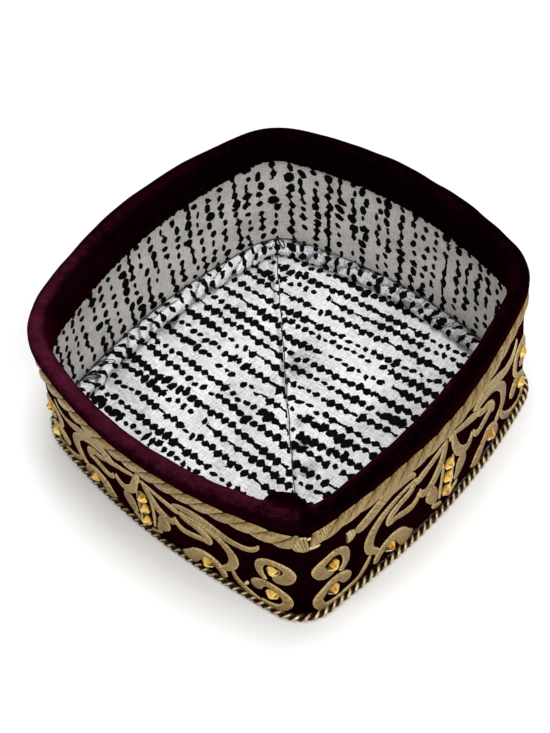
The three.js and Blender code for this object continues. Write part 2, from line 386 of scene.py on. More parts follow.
    def by_corner(self, values: Sequence[float], lap: np.ndarray) -> np.ndarray:
        """Values that run evenly from corner to corner."""
        return np.interp(np.mod(lap, SIDES_ROUND), range(SIDES_ROUND + 1), [*values, values[0]])


@dataclass(frozen=True)
class Ripple:
    """Gentle unevenness of cloth: a sum of waves in seeded directions."""

    seed: int
    depth: float
    shortest: float = 12.0
    longest: float = 60.0
    waves: int = 9

    def over(self, lap: np.ndarray, height: np.ndarray) -> np.ndarray:
        """How far the cloth stands off its plain form.

        Args:
            lap: places round the cap.
            height: heights, or any other distance across the cloth.

        Returns:
            Offsets in millimetres, the same again after a whole turn.
        """
        chance = np.random.default_rng(self.seed)
        total = np.zeros(np.broadcast(lap, height).shape)
        for _ in range(self.waves):
            length = chance.uniform(self.shortest, self.longest)
            turn = chance.uniform(0, FULL_TURN)
            around = round(SIDE_LENGTH * SIDES_ROUND / length * math.cos(turn))
            phase = chance.uniform(0, FULL_TURN)
            waves = around * lap / SIDES_ROUND + math.sin(turn) / length * height
            total = total + np.sin(FULL_TURN * waves + phase)
        return self.depth * total / math.sqrt(self.waves)


@dataclass
class Patch:
    """A grid of points with its own map in millimetres; a closed direction's map has one line more."""

    points: np.ndarray
    chart: np.ndarray
    closed_rows: bool = False
    closed_columns: bool = False
    capped: bool = False
    tone: float | np.ndarray = 0.5


class Signal:
    """A number that varies over a surface, so that node sums can be written as plain sums."""

    def __init__(self, shader: "Shader", socket: bpy.types.NodeSocket) -> None:
        """Keeps the shader and the socket that the number comes out of."""
        self.shader = shader
        self.socket = socket

    def math(self, operation: str, *others: "Value") -> "Signal":
        """The result of a math node, named as in Blender, for this number and others."""
        return self.shader.output("ShaderNodeMath", 0, *enumerate((self, *others)), operation=operation)

    def __add__(self, other: "Value") -> "Signal":
        """The sum."""
        return self.math("ADD", other)

    def __sub__(self, other: "Value") -> "Signal":
        """The difference."""
        return self.math("SUBTRACT", other)

    def __mul__(self, other: "Value") -> "Signal":
        """The product."""
        return self.math("MULTIPLY", other)

    def __truediv__(self, other: "Value") -> "Signal":
        """The quotient."""
        return self.math("DIVIDE", other)

    def floor(self) -> "Signal":
        """The whole number below."""
        return self.math("FLOOR")

    def size(self) -> "Signal":
        """The number without its sign."""
        return self.math("ABSOLUTE")

    def power(self, exponent: "Value") -> "Signal":
        """The number raised to a power."""
        return self.math("POWER", exponent)

    def fraction(self) -> "Signal":
        """What is over the whole number below."""
        return self.math("FRACT")

    def centred(self) -> "Signal":
        """The number less a half, which centres a lot on nothing."""
        return self - HALF

    def opposite(self) -> "Signal":
        """One less the number."""
        return self * -1.0 + 1.0

    def wave(self) -> "Signal":
        """A sine wave between nothing and one, with the number as its turns."""
        return (self * FULL_TURN).math("SINE") * HALF + HALF

    def below(self, limit: "Value") -> "Signal":
        """One where the number is below the limit, and nothing elsewhere."""
        return self.math("LESS_THAN", limit)

    def above(self, limit: "Value") -> "Signal":
        """One where the number is above the limit, and nothing elsewhere."""
        return self.math("GREATER_THAN", limit)

    def larger(self, other: "Value") -> "Signal":
        """The larger of two numbers."""
        return self.math("MAXIMUM", other)


Value = Signal | float
Feed = tuple[str | int, Value | tuple[float, ...]]


class Shader:
    """The nodes of one material, round its own surface shader."""

    def __init__(self, name: str) -> None:
        """Makes the material.

        Args:
            name: the material's name.
        """
        self.material = bpy.data.materials.new(name)
        self.material.use_nodes = True
        self.tree = self.material.node_tree
        self.skin = self.tree.nodes["Principled BSDF"]

    def feed(self, socket: bpy.types.NodeSocket, value: Value | tuple[float, ...]) -> None:
        """Links a signal to a socket, or sets a constant on it.

        Args:
            socket: the input.
            value: a signal, a number or a tuple of numbers.
        """
        if isinstance(value, Signal):
            self.tree.links.new(value.socket, socket)
        else:
            socket.default_value = value

    def set(self, **values: Value | Colour) -> None:
        """Sets inputs of the surface shader.

        Args:
            values: what goes into each input, with underscores for the spaces in its name.
        """
        for key, value in values.items():
            socket = self.skin.inputs[key.replace("_", " ").title().replace("Ior", "IOR")]
            self.feed(socket, (*value, 1.0) if isinstance(value, tuple) else value)

    def node(self, kind: str, *feeds: Feed, **settings: object) -> bpy.types.Node:
        """Adds a node.

        Args:
            kind: Blender's name of the node type.
            feeds: its inputs, by name or number, with what goes into each.
            settings: properties to set on it.

        Returns:
            The node.
        """
        made = self.tree.nodes.new(kind)
        for key, value in settings.items():
            setattr(made, key, value)
        for key, value in feeds:
            self.feed(made.inputs[key], value)
        return made

    def output(self, kind: str, name: str | int, *feeds: Feed, **settings: object) -> Signal:
        """What comes out of a new node, by the name or number of its output."""
        return Signal(self, self.node(kind, *feeds, **settings).outputs[name])

    def split(self, vector: Signal) -> tuple[Signal, ...]:
        """The three numbers of a vector or colour."""
        node = self.node("ShaderNodeSeparateXYZ", (0, vector))
        return tuple(Signal(self, output) for output in node.outputs)

    def join(self, *numbers: Value) -> Signal:
        """The vector of three numbers, or of two and nothing."""
        return self.output("ShaderNodeCombineXYZ", 0, *enumerate(numbers))

    def chart(self) -> tuple[Signal, ...]:
        """The two coordinates of the piece's own map, in millimetres."""
        return self.split(self.output("ShaderNodeUVMap", 0, uv_map=CHART))[:2]

    def cloud(self, place: Signal, detail: Detail, name: str | int = 0) -> Signal:
        """A cloud noise, one unit to a cloud: its plain number, or the output of a name."""
        feeds = (("Vector", place), ("Scale", 1.0), ("Detail", detail.value))
        return self.output("ShaderNodeTexNoise", name, *feeds, noise_dimensions="3D")

    def map_cloud(self, chart: tuple[Signal, ...], grain: Pair, layer: Layer, detail: Detail) -> Signal:
        """A cloud noise on a piece's map, its grain in clouds to a millimetre across and along."""
        place = self.join(chart[0] * grain[0], chart[1] * grain[1], layer.value)
        return self.cloud(place, detail)

    def lots(self, first: Signal, second: Value) -> tuple[Signal, ...]:
        """Three random numbers between nothing and one, the same all over a cell."""
        cell = ("Vector", self.join(first, second, HALF))
        return self.split(self.output("ShaderNodeTexWhiteNoise", "Color", cell, noise_dimensions="3D"))

    def object_place(self, scale: float) -> Signal:
        """Places on the object, each millimetre counted as the scale."""
        feeds = (("Vector", self.output("ShaderNodeTexCoord", "Object")), ("Scale", (scale / MM,) * 3))
        return self.output("ShaderNodeMapping", 0, *feeds)

    def tone(self) -> Signal:
        """The tone that each stroke or strand of a piece was given."""
        return self.output("ShaderNodeAttribute", "Fac", attribute_name=TONE)

    def shades(self, factor: Signal, *stops: Stop) -> Signal:
        """Colours along a ramp.

        Args:
            factor: where on the ramp, from nothing to one.
            stops: places on the ramp with their colours, in any order after the first two.

        Returns:
            The colour.
        """
        node = self.node("ShaderNodeValToRGB", (0, factor))
        elements = node.color_ramp.elements
        for place, (position, colour) in enumerate(stops):
            element = elements[place] if place < len(elements) else elements.new(position)
            element.position = position
            element.color = (*colour, 1.0)
        return Signal(self, node.outputs[0])

    def laid_over(self, share: Signal, lower: Signal, upper: Signal) -> Signal:
        """One colour laid over another by a share from nothing to one."""
        feeds = zip(MIX_INPUTS, (share, lower, upper))
        return self.output("ShaderNodeMix", MIX_RESULT, *feeds, data_type="RGBA")

    def relief(self, height: Signal, depth: float, strength: float = 1.0) -> None:
        """Bumps the surface by a height map whose one stands for a depth in millimetres."""
        feeds = (("Strength", strength), ("Distance", depth * MM), ("Height", height))
        self.feed(self.skin.inputs["Normal"], self.output("ShaderNodeBump", 0, *feeds))


class Finish:
    """A finish mixes its material once and hands out the same one after that."""

    name: str

    def material(self) -> bpy.types.Material:
        """Finds the material, or mixes it the first time.

        Returns:
            The finished material.
        """
        found = bpy.data.materials.get(self.name)
        if found is None:
            shader = Shader(self.name)
            self.mix(shader)
            found = shader.material
        return found

    def mix(self, shader: Shader) -> None:
        """Adds the finish's nodes to a new material."""
        raise NotImplementedError


@dataclass(frozen=True)
class Velvet(Finish):
    """Dark wine pile that glows where it is seen edge on, with brushed patches."""

    name: str = "wine velvet"
    deep: Stop = (0.30, (0.0011, 0.0001, 0.0003))
    brushed: Stop = (0.56, (0.0085, 0.0007, 0.0022))
    # Painted highlight colour: only the painted light in the binding's tone lifts the blend this far.
    painted_light: Stop = (0.92, (0.0580, 0.0070, 0.0205))
    glow: Colour = (0.95, 0.05, 0.17)
    sheen: float = 0.03
    sheen_spread: float = 0.38
    roughness: float = 0.95
    gloss: float = 0.0
    patch: float = 14.0
    patch_weight: float = 0.25
    mottle: float = 3.2
    mottle_weight: float = 0.36
    pile: float = 0.9
    pile_weight: float = 0.35
    pile_depth: float = 0.28
    pile_strength: float = 0.8
    painted_light_weight: float = 0.6
    darkening: float = 0.2

    def mix(self, shader: Shader) -> None:
        """Lays patches of brushed pile over the deep colour, with the painted light and shade that each
        piece's tone carries.

        Args:
            shader: the new material's nodes.
        """
        patches = shader.cloud(shader.object_place(1 / self.patch), Detail.FINEST)
        hairs = shader.cloud(shader.object_place(1 / self.pile), Detail.FINE)
        mottles = shader.cloud(shader.object_place(1 / self.mottle), Detail.FINE)
        blend = patches * self.patch_weight + mottles * self.mottle_weight + hairs * self.pile_weight
        # The tone adds painted light and shade, most of it on the binding's roll.
        blend = blend + shader.tone() * self.painted_light_weight - self.darkening
        colour = shader.shades(blend, self.deep, self.painted_light, self.brushed)
        shader.set(base_color=colour, roughness=self.roughness, specular_ior_level=self.gloss)
        shader.set(sheen_weight=self.sheen, sheen_roughness=self.sheen_spread, sheen_tint=self.glow)
        shader.relief(hairs, self.pile_depth, self.pile_strength)


@dataclass(frozen=True)
class RowNoise:
    """A noise along the rows of a print: its length, how far apart rows read it, and its layer."""

    length: float
    row_step: float
    layer: float

    def over(self, shader: Shader, run: Signal, row: Signal) -> Signal:
        """The noise at a run along a row."""
        place = shader.join(run / self.length, row * self.row_step, self.layer)
        return shader.cloud(place, Detail.PLAIN)


@dataclass(frozen=True)
class CottonPrint(Finish):
    """Plain-woven cotton with rows of black dots, in chains and singly.

    A cell is the stretch of a row that holds one dot, or bead. Each row and each cell draws lots
    between nothing and one, and a scatter is how much a lot changes a size.
    """

    name: str
    chained_runs: float
    pitch: float = 6.9
    row_scatter: float = 1.8
    row_lot: float = 3.0
    row_start: float = 9.0
    spacing: float = 3.6
    spacing_scatter: float = 0.7
    cell_scatter: float = 0.9
    wander: float = 3.0
    rag: float = 1.25
    rag_grain: float = 0.75
    zigzag: float = 0.8
    nudge_scatter: float = 0.9
    single_scatter: float = 1.3
    slant_scatter: float = 0.8
    bead_length: float = 1.2
    length_scatter: float = 0.7
    chain_length: float = 0.9
    bead_width: float = 1.0
    width_scatter: float = 1.1
    chain_width: float = 0.55
    chain_sharpness: float = 1.2
    single_sharpness: float = 0.45
    filled_cells: float = 0.95
    neck: float = 0.55
    neck_scatter: float = 0.35
    thick: float = 0.6
    thick_neck: float = 0.45
    thick_runs: float = 0.57
    growth: float = 0.62
    grown_runs: float = 0.56
    drifting: RowNoise = RowNoise(26.0, 7.3, 0.0)
    chaining: RowNoise = RowNoise(17.0, 13.3, 9.0)
    thickening: RowNoise = RowNoise(37.0, 5.1, 15.0)
    growing: RowNoise = RowNoise(33.0, 3.7, 5.0)
    # Painted shade colour for creases and hollows, reached only where a piece's tone is lowered.
    painted_crease_shade: Stop = (0.0, (0.16, 0.16, 0.17))
    grey: Stop = (0.22, (0.47, 0.47, 0.49))
    cotton: Stop = (0.62, (0.84, 0.84, 0.85))
    ink: Stop = (0.45, (0.0015, 0.0015, 0.0018))
    worn_ink: Stop = (0.8, (0.010, 0.010, 0.011))
    wear_grain: Pair = (2.2, 2.2)
    wear_weight: float = 0.3
    warp_grain: Pair = (1.7, 0.2)
    weft_grain: Pair = (0.2, 1.7)
    weave_weight: float = 1.35
    weave_depth: float = 0.16
    weave_strength: float = 0.7
    soil_grain: Pair = (1 / 18.0, 1 / 18.0)
    soil_weight: float = 0.3
    darkening: float = 1.06
    roughness: float = 0.92
    gloss: float = 0.02

    def mix(self, shader: Shader) -> None:
        """Lays the printed dots over the woven cloth, which the piece's tone darkens with painted shade and
        lightens with painted light.

        Args:
            shader: the new material's nodes.
        """
        chart = shader.chart()
        wear = shader.map_cloud(chart, self.wear_grain, Layer.WEAR, Detail.FINE)
        warp = shader.map_cloud(chart, self.warp_grain, Layer.WARP, Detail.PLAIN)
        weft = shader.map_cloud(chart, self.weft_grain, Layer.WEFT, Detail.PLAIN)
        soil = shader.map_cloud(chart, self.soil_grain, Layer.SOIL, Detail.FINE)
        weave = warp * HALF + weft * HALF
        fleck = soil * self.soil_weight + weave * self.weave_weight + wear * self.wear_weight
        # The tone carries painted light and shade: creases, hollows and shaded stretches darken the cloth,
        # lit stretches lighten it.
        fleck = fleck + shader.tone() - self.darkening
        cloth = shader.shades(fleck, self.grey, self.cotton, self.painted_crease_shade)
        dye = shader.shades(wear, self.ink, self.worn_ink)
        colour = shader.laid_over(self.inked(shader, chart), cloth, dye)
        shader.set(base_color=colour, roughness=self.roughness, specular_ior_level=self.gloss)
        shader.relief(weave * HALF + wear * HALF, self.weave_depth, self.weave_strength)

    def inked(self, shader: Shader, chart: tuple[Signal, ...]) -> Signal:
        """Draws the rows of dots.

        Args:
            shader: the material's nodes.
            chart: the piece's map.

        Returns:
            One where there is ink, and nothing elsewhere.
        """
        across, along = chart
        ragged = shader.join(across * self.rag_grain, along * self.rag_grain)
        sideways, lengthwise, _ = shader.split(shader.cloud(ragged, Detail.SOFT, "Color"))
        line = across + sideways.centred() * self.rag
        run = along + lengthwise.centred() * self.rag
        row = (line / self.pitch).floor()
        row_lots = shader.lots(row, self.row_lot)
        off = line - (row + HALF) * self.pitch
        off = off + self.drifting.over(shader, run, row).centred() * self.wander
        off = off + row_lots[2].centred() * self.row_scatter
        chain = self.chaining.over(shader, run, row).below(self.chained_runs)
        single = chain.opposite()
        grown = self.growing.over(shader, run, row).above(self.grown_runs) * single
        fat = self.thickening.over(shader, run, row).above(self.thick_runs) * chain * self.thick
        step = row_lots[0] * self.spacing_scatter + self.spacing
        cells = run / step + row_lots[1] * self.row_start
        cell = cells.floor()
        lots = shader.lots(row, cell)
        swell = grown * self.growth + 1.0
        length = lots[0] * self.length_scatter + self.bead_length + chain * self.chain_length
        width = lots[1] * self.width_scatter + self.bead_width + chain * self.chain_width + fat
        swing = ((cell * HALF).fraction() - HALF / 2) * self.zigzag
        nudge = lots[2].centred() * (single * self.single_scatter + self.nudge_scatter) + swing
        in_cell = (cells - cell).centred() * step + lots[2].centred() * self.cell_scatter
        leaning = in_cell - off * lots[0].centred() * self.slant_scatter * single
        sharpness = single * self.single_sharpness + self.chain_sharpness
        reach = (leaning / (length * swell)).size().power(sharpness)
        reach = reach + ((off - nudge) / (width * swell)).size().power(sharpness)
        dots = reach.below(1.0) * lots[2].below(self.filled_cells)
        neck_width = lots[0] * self.neck_scatter + fat * self.thick_neck + self.neck
        necks = (off - nudge * HALF).size().below(neck_width) * chain
        return dots.larger(necks)


@dataclass(frozen=True)
class GoldThread(Finish):
    """Satin stitches of antique gold thread laid across each stroke."""

    name: str = "antique gold thread"
    dark: Stop = (0.14, (0.075, 0.038, 0.008))
    middle: Stop = (0.50, (0.335, 0.205, 0.050))
    bright: Stop = (0.90, (0.800, 0.620, 0.300))
    pitch: float = 0.62
    slant: float = 0.22
    wander: float = 0.7
    wander_grain: Pair = (0.5, 0.5)
    strand_lot: float = 0.5
    strand_weight: float = 0.20
    ridge_weight: float = 0.28
    broad_grain: Pair = (0.25, 0.12)
    broad_weight: float = 0.30
    fleck_grain: Pair = (1.4, 1.4)
    flecked: float = 0.59
    fleck_weight: float = 0.24
    tone_weight: float = 0.46
    darkening: float = 0.06
    metal: float = 0.30
    roughness: float = 0.48
    relief_depth: float = 0.16
    ridge_relief: float = 0.7
    strand_relief: float = 0.3

    def mix(self, shader: Shader) -> None:
        """Shades and bumps the threads, each a little different.

        Args:
            shader: the new material's nodes.
        """
        chart = shader.chart()
        across, along = chart
        wander = shader.map_cloud(chart, self.wander_grain, Layer.FIRST, Detail.SOFT).centred()
        thread = (along + across * self.slant + wander * self.wander) / self.pitch
        ridge = thread.wave()
        strand = shader.lots(thread.floor(), self.strand_lot)[0]
        broad = shader.map_cloud(chart, self.broad_grain, Layer.BROAD, Detail.FINE)
        flecks = shader.map_cloud(chart, self.fleck_grain, Layer.FLECKS, Detail.PLAIN).above(self.flecked)
        shade = ridge * self.ridge_weight + strand * self.strand_weight + broad * self.broad_weight
        # The tone holds each stroke's own brightness, plus painted highlights along stroke and lobe edges
        # and painted shade in the rope's grooves.
        shade = shade + shader.tone() * self.tone_weight - flecks * self.fleck_weight - self.darkening
        colour = shader.shades(shade, self.dark, self.bright, self.middle)
        shader.set(base_color=colour, metallic=self.metal, roughness=self.roughness)
        shader.relief(ridge * self.ridge_relief + strand * self.strand_relief, self.relief_depth)


@dataclass(frozen=True)
class TwistedMetal(Finish):
    """Metallic cord, with a painted highlight along the outside of each strand and painted shade in the
    gaps between.
    """

    name: str = "twisted gold cord"
    painted_gap_shade: Stop = (0.20, (0.026, 0.013, 0.004))
    middle: Stop = (0.42, (0.330, 0.205, 0.078))
    bright: Stop = (0.72, (0.960, 0.790, 0.500))
    strand: float = 0.88
    crest_power: float = 1.7
    crest_weight: float = 0.62
    uneven_grain: Pair = (0.9, 0.8)
    uneven_weight: float = 0.9
    wrap: float = 0.55
    wrap_weight: float = 0.10
    wrap_depth: float = 0.05
    metal: float = 0.6
    roughness: float = 0.34

    def mix(self, shader: Shader) -> None:
        """Paints light and shade on each strand by how far its surface turns in to the cord.

        Args:
            shader: the new material's nodes.
        """
        chart = shader.chart()
        across, along = chart
        outside = (across / self.strand).math("COSINE")
        wraps = (along / self.wrap).wave()
        uneven = shader.map_cloud(chart, self.uneven_grain, Layer.FIRST, Detail.SOFT)
        # Painted highlight on the outside of each strand; the uneven noise also paints random glints, and
        # the tone adds painted shade where the cord is tucked in on the left.
        painted_crest_light = outside.larger(0.0).power(self.crest_power)
        shade = painted_crest_light * self.crest_weight + uneven.centred() * self.uneven_weight
        shade = shade + wraps * self.wrap_weight + shader.tone()
        colour = shader.shades(shade, self.painted_gap_shade, self.bright, self.middle)
        shader.set(base_color=colour, metallic=self.metal, roughness=self.roughness)
        shader.relief(wraps, self.wrap_depth)


@dataclass(frozen=True)
class InkThread(Finish):
    """Black sewing thread, finely twisted."""

    name: str = "black sewing thread"
    dark: Stop = (0.2, (0.004, 0.004, 0.005))
    light: Stop = (0.9, (0.020, 0.019, 0.022))
    turns: float = 1.6
    relief_depth: float = 0.1
    roughness: float = 0.7

    def mix(self, shader: Shader) -> None:
        """Shades the twist of the thread.

        Args:
            shader: the new material's nodes.
        """
        across, along = shader.chart()
        twist = (along * self.turns + across).wave()
        shader.set(base_color=shader.shades(twist, self.dark, self.light), roughness=self.roughness)
        shader.relief(twist, self.relief_depth)


@dataclass(frozen=True)
class Amber(Finish):
    """Polished amber studs with a metallic back, its pale gold flashes painted as reflections in the
    facets' colours.
    """

    name: str = "amber stud"
    deep: Stop = (0.12, (0.018, 0.005, 0.001))
    honey: Stop = (0.28, (0.72, 0.31, 0.018))
    pale: Stop = (0.72, (1.0, 0.72, 0.16))
    facet_steps: float = 9.0
    facet_stride: float = 3.7
    facet_weight: float = 0.8
    cloud_grain: float = 0.9
    cloud_weight: float = 0.3
    darkening: float = 0.05
    metal: float = 0.35
    roughness: float = 0.2
    coat: float = 0.25
    coat_roughness: float = 0.08

    def mix(self, shader: Shader) -> None:
        """Paints every facet its own tone by the way it faces, as painted reflections of the metallic back,
        a little uneven inside.

        Args:
            shader: the new material's nodes.
        """
        facing = shader.output("ShaderNodeNewGeometry", "True Normal")
        # Each facing direction draws a tone: painted reflections, deep or pale by facet.
        turns = [(number * self.facet_steps).floor() for number in shader.split(facing)]
        facet = shader.lots(turns[0] + turns[2] * self.facet_stride, turns[1])[0]
        clouds = shader.cloud(shader.object_place(self.cloud_grain), Detail.SOFT)
        shade = facet * self.facet_weight + clouds * self.cloud_weight - self.darkening
        colour = shader.shades(shade, self.deep, self.pale, self.honey)
        shader.set(base_color=colour, metallic=self.metal, roughness=self.roughness)
        shader.set(coat_weight=self.coat, coat_roughness=self.coat_roughness)


@dataclass(frozen=True)
class PaleFloor(Finish):
    """The plain pale floor that the cap lies on, hardly mottled."""

    name: str = "pale floor"
    shade: Stop = (0.3, (0.94, 0.94, 0.94))
    light: Stop = (0.7, (0.97, 0.97, 0.97))
    patch: float = 100.0
    roughness: float = 0.9

    def mix(self, shader: Shader) -> None:
        """Adds the mottle to the material."""
        mottle = shader.cloud(shader.object_place(1 / self.patch), Detail.SOFT)
        shader.set(base_color=shader.shades(mottle, self.shade, self.light), roughness=self.roughness)


VELVET = Velvet()
SHADED_WALL_PRINT = CottonPrint(
    "wall cotton",
    chained_runs=0.47,
    spacing=4.6,
    bead_length=1.35,
    bead_width=0.88,
    zigzag=1.4,
    # Darker, warmer copy of the crown's cotton: painted shade for the walls.
    grey=(0.22, (0.45, 0.43, 0.40)),
    cotton=(0.62, (0.70, 0.67, 0.63)),
)
CROWN_PRINT = CottonPrint(
    "crown cotton",
    chained_runs=0.55,
    neck=0.48,
    rag=1.7,
    wander=3.8,
    chaining=RowNoise(24.0, 13.3, 9.0),
)
ROLL_PRINT = CottonPrint("gathered cotton", chained_runs=0.5, spacing=4.6, bead_length=1.4)
GOLD = GoldThread()
METAL = GoldThread(
    "bright gold thread",
    pitch=1.15,
    slant=0.0,
    dark=(0.14, (0.075, 0.040, 0.010)),
    middle=(0.50, (0.40, 0.26, 0.085)),
    bright=(0.90, (0.85, 0.70, 0.42)),
    metal=0.4,
    roughness=0.42,
)
THREAD = InkThread()


def faces_of(patch: Patch, offset: int) -> tuple[list[np.ndarray], list[np.ndarray]]:
    """The faces of a patch.

    Args:
        patch: the grid.
        offset: the number of its first point in the whole mesh.

    Returns:
        Arrays of the faces' points, and arrays of the same shape with their places in the chart.
    """
    rows, columns = patch.points.shape[:2]
    number = np.arange(rows * columns).reshape(rows, columns) + offset
    if patch.closed_rows:
        number = np.vstack([number, number[:1]])
    if patch.closed_columns:
        number = np.hstack([number, number[:, :1]])
    place = np.arange(number.size).reshape(number.shape)
    found = []
    for grid in (number, place):
        around = [grid[:-1, :-1], grid[:-1, 1:], grid[1:, 1:], grid[1:, :-1]]
        found.append([np.stack(around, axis=-1).reshape(-1, 4)])
    if patch.capped:
        for column in (0, -1):
            found[0].append(number[:-1, column][None])
            found[1].append(place[:-1, column][None])
    return found[0], found[1]


def add_piece(name: str, mesh: bpy.types.Mesh, finish: Finish) -> bpy.types.Object:
    """Dresses a mesh and puts it in the scene.

    Args:
        name: the piece's name.
        mesh: its shape.
        finish: what it is made of.

    Returns:
        The object.
    """
    mesh.materials.append(finish.material())
    piece = bpy.data.objects.new(name, mesh)
    bpy.context.scene.collection.objects.link(piece)
    return piece


def build_mesh(name: str, patches: Sequence[Patch], finish: Finish) -> bpy.types.Object:
    """Makes one smoothly shaded piece from its patches.

    Args:
        name: the piece's name.
        patches: its grids, which weld where their points meet.
        finish: what it is made of.

    Returns:
        The object, in the scene.
    """
    points, corners, starts, charts, tones = [], [], [], [], []
    offset = 0
    loops = 0
    for patch in patches:
        faces, places = faces_of(patch, offset)
        chart = patch.chart.reshape(-1, 2)
        for block, spots in zip(faces, places):
            corners.append(block.ravel())
            charts.append(chart[spots.ravel()])
            starts.append(loops + np.arange(len(block)) * block.shape[1])
            loops += block.size
        flat = patch.points.reshape(-1, 3)
        points.append(flat)
        tones.append(np.broadcast_to(patch.tone, patch.points.shape[:2]).ravel())
        offset += len(flat)
    mesh = bpy.data.meshes.new(name)
    mesh.vertices.add(offset)
    mesh.vertices.foreach_set("co", (np.vstack(points) * MM).astype(np.float32).ravel())
    mesh.loops.add(loops)
    mesh.loops.foreach_set("vertex_index", np.concatenate(corners).astype(np.int32))
    mesh.polygons.add(sum(len(block) for block in starts))
    mesh.polygons.foreach_set("loop_start", np.concatenate(starts).astype(np.int32))
    mesh.update(calc_edges=True)
    chart_layer = mesh.uv_layers.new(name=CHART)
    chart_layer.uv.foreach_set("vector", np.vstack(charts).astype(np.float32).ravel())
    tone_layer = mesh.attributes.new(TONE, "FLOAT", "POINT")
    tone_layer.data.foreach_set("value", np.concatenate(tones).astype(np.float32))
    solid = bmesh.new()
    solid.from_mesh(mesh)
    bmesh.ops.remove_doubles(solid, verts=solid.verts, dist=WELD * MM)
    bmesh.ops.recalc_face_normals(solid, faces=solid.faces)
    solid.to_mesh(mesh)
    solid.free()
    mesh.shade_smooth()
    return add_piece(name, mesh, finish)


def register(piece: bpy.types.Object, slot: str, *nodes: str) -> bpy.types.Object:
    """Seats a piece on the cap's body, hides the CAD nodes that it replaces and logs its faces.

    Args:
        piece: the finished piece.
        slot: not used.
        nodes: the CAD nodes that it replaces.

    Returns:
        The same piece.
    """
    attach(piece, "root")
    if nodes:
        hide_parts(*nodes)
    LOG.info("%s: %d faces", piece.name, len(piece.data.polygons))
    return piece


def ring_patch(form: WallForm, laps: np.ndarray, heights: np.ndarray, depths: np.ndarray) -> Patch:
    """A closed ring round the cap.

    Args:
        form: the wall that it follows.
        laps: places round the cap, a whole turn without its end.
        heights: rows of heights, one for each point of the section and each lap.
        depths: rows of depths in the same shape.

    Returns:
        The ring as a patch, mapped along the wall and round its section.
    """
    points = form.point(laps[None, :], heights, depths)
    closed = np.concatenate([points, points[:1]], axis=0)
    steps = np.linalg.norm(np.diff(closed, axis=0), axis=2).mean(axis=1)
    section = np.concatenate([[0], np.cumsum(steps)])
    along = np.append(laps, laps[0] + SIDES_ROUND) * SIDE_LENGTH
    chart = np.stack(np.broadcast_arrays(along[None, :], section[:, None]), axis=-1)
    return Patch(points, chart, closed_rows=True, closed_columns=True)


def smooth_path(points: np.ndarray, step: float) -> np.ndarray:
    """An even run of stations along a smooth curve through points.

    Args:
        points: the points, with any number of values each, the first two being places.
        step: the distance between stations.

    Returns:
        The stations, with the same values each.
    """
    padded = np.vstack([2 * points[0] - points[1], points, 2 * points[-1] - points[-2]])
    share = np.linspace(0, 1, CURVE_SAMPLES, endpoint=False)[:, None]
    runs = []
    for a, b, c, d in zip(padded, padded[1:], padded[2:], padded[3:]):
        cubic = -a + 3 * b - 3 * c + d
        square = 2 * a - 5 * b + 4 * c - d
        runs.append(HALF * (2 * b + (c - a) * share + square * share**2 + cubic * share**3))
    dense = np.vstack([*runs, points[-1:]])
    run = way_along(dense[:, :2])
    wanted = np.linspace(0, run[-1], max(FEWEST_STATIONS, int(run[-1] / step) + 1))
    return np.column_stack([np.interp(wanted, run, column) for column in dense.T])


def tube_patch(
    path: np.ndarray,
    radius: float,
    sides: int,
    closed: bool = False,
    away: np.ndarray | None = None,
) -> Patch:
    """A round strand along a path.

    Args:
        path: its middle line.
        radius: its radius.
        sides: points round it.
        closed: whether the path comes back to its start.
        away: directions that point to one side of the strand; nearly straight up by default.

    Returns:
        The strand as a patch.
    """
    ahead = np.roll(path, -1, axis=0) - np.roll(path, 1, axis=0)
    if not closed:
        ahead = np.gradient(path, axis=0)
    ahead = unit(ahead)
    guide = np.broadcast_to(NEARLY_UP, path.shape) if away is None else away
    normal = unit(guide - (guide * ahead).sum(axis=1)[:, None] * ahead)
    other = np.cross(ahead, normal)
    turn = -np.arange(sides) / sides * FULL_TURN
    spokes = np.cos(turn)[:, None, None] * normal + np.sin(turn)[:, None, None] * other
    points = path[None] + radius * spokes
    along = way_along(path)
    if closed:
        along = np.append(along, along[-1] + np.linalg.norm(path[0] - path[-1]))
    across = np.arange(sides + 1) / sides * FULL_TURN * radius
    chart = np.stack(np.broadcast_arrays(across[:, None], along[None, :]), axis=-1)
    return Patch(points, chart, closed_rows=True, closed_columns=closed, capped=not closed)


@dataclass(frozen=True)
class Lamp:
    """A soft square light: its place as the camera sees right, away and up, its edge and its watts."""

    name: str
    place: Station
    edge: float
    power: float


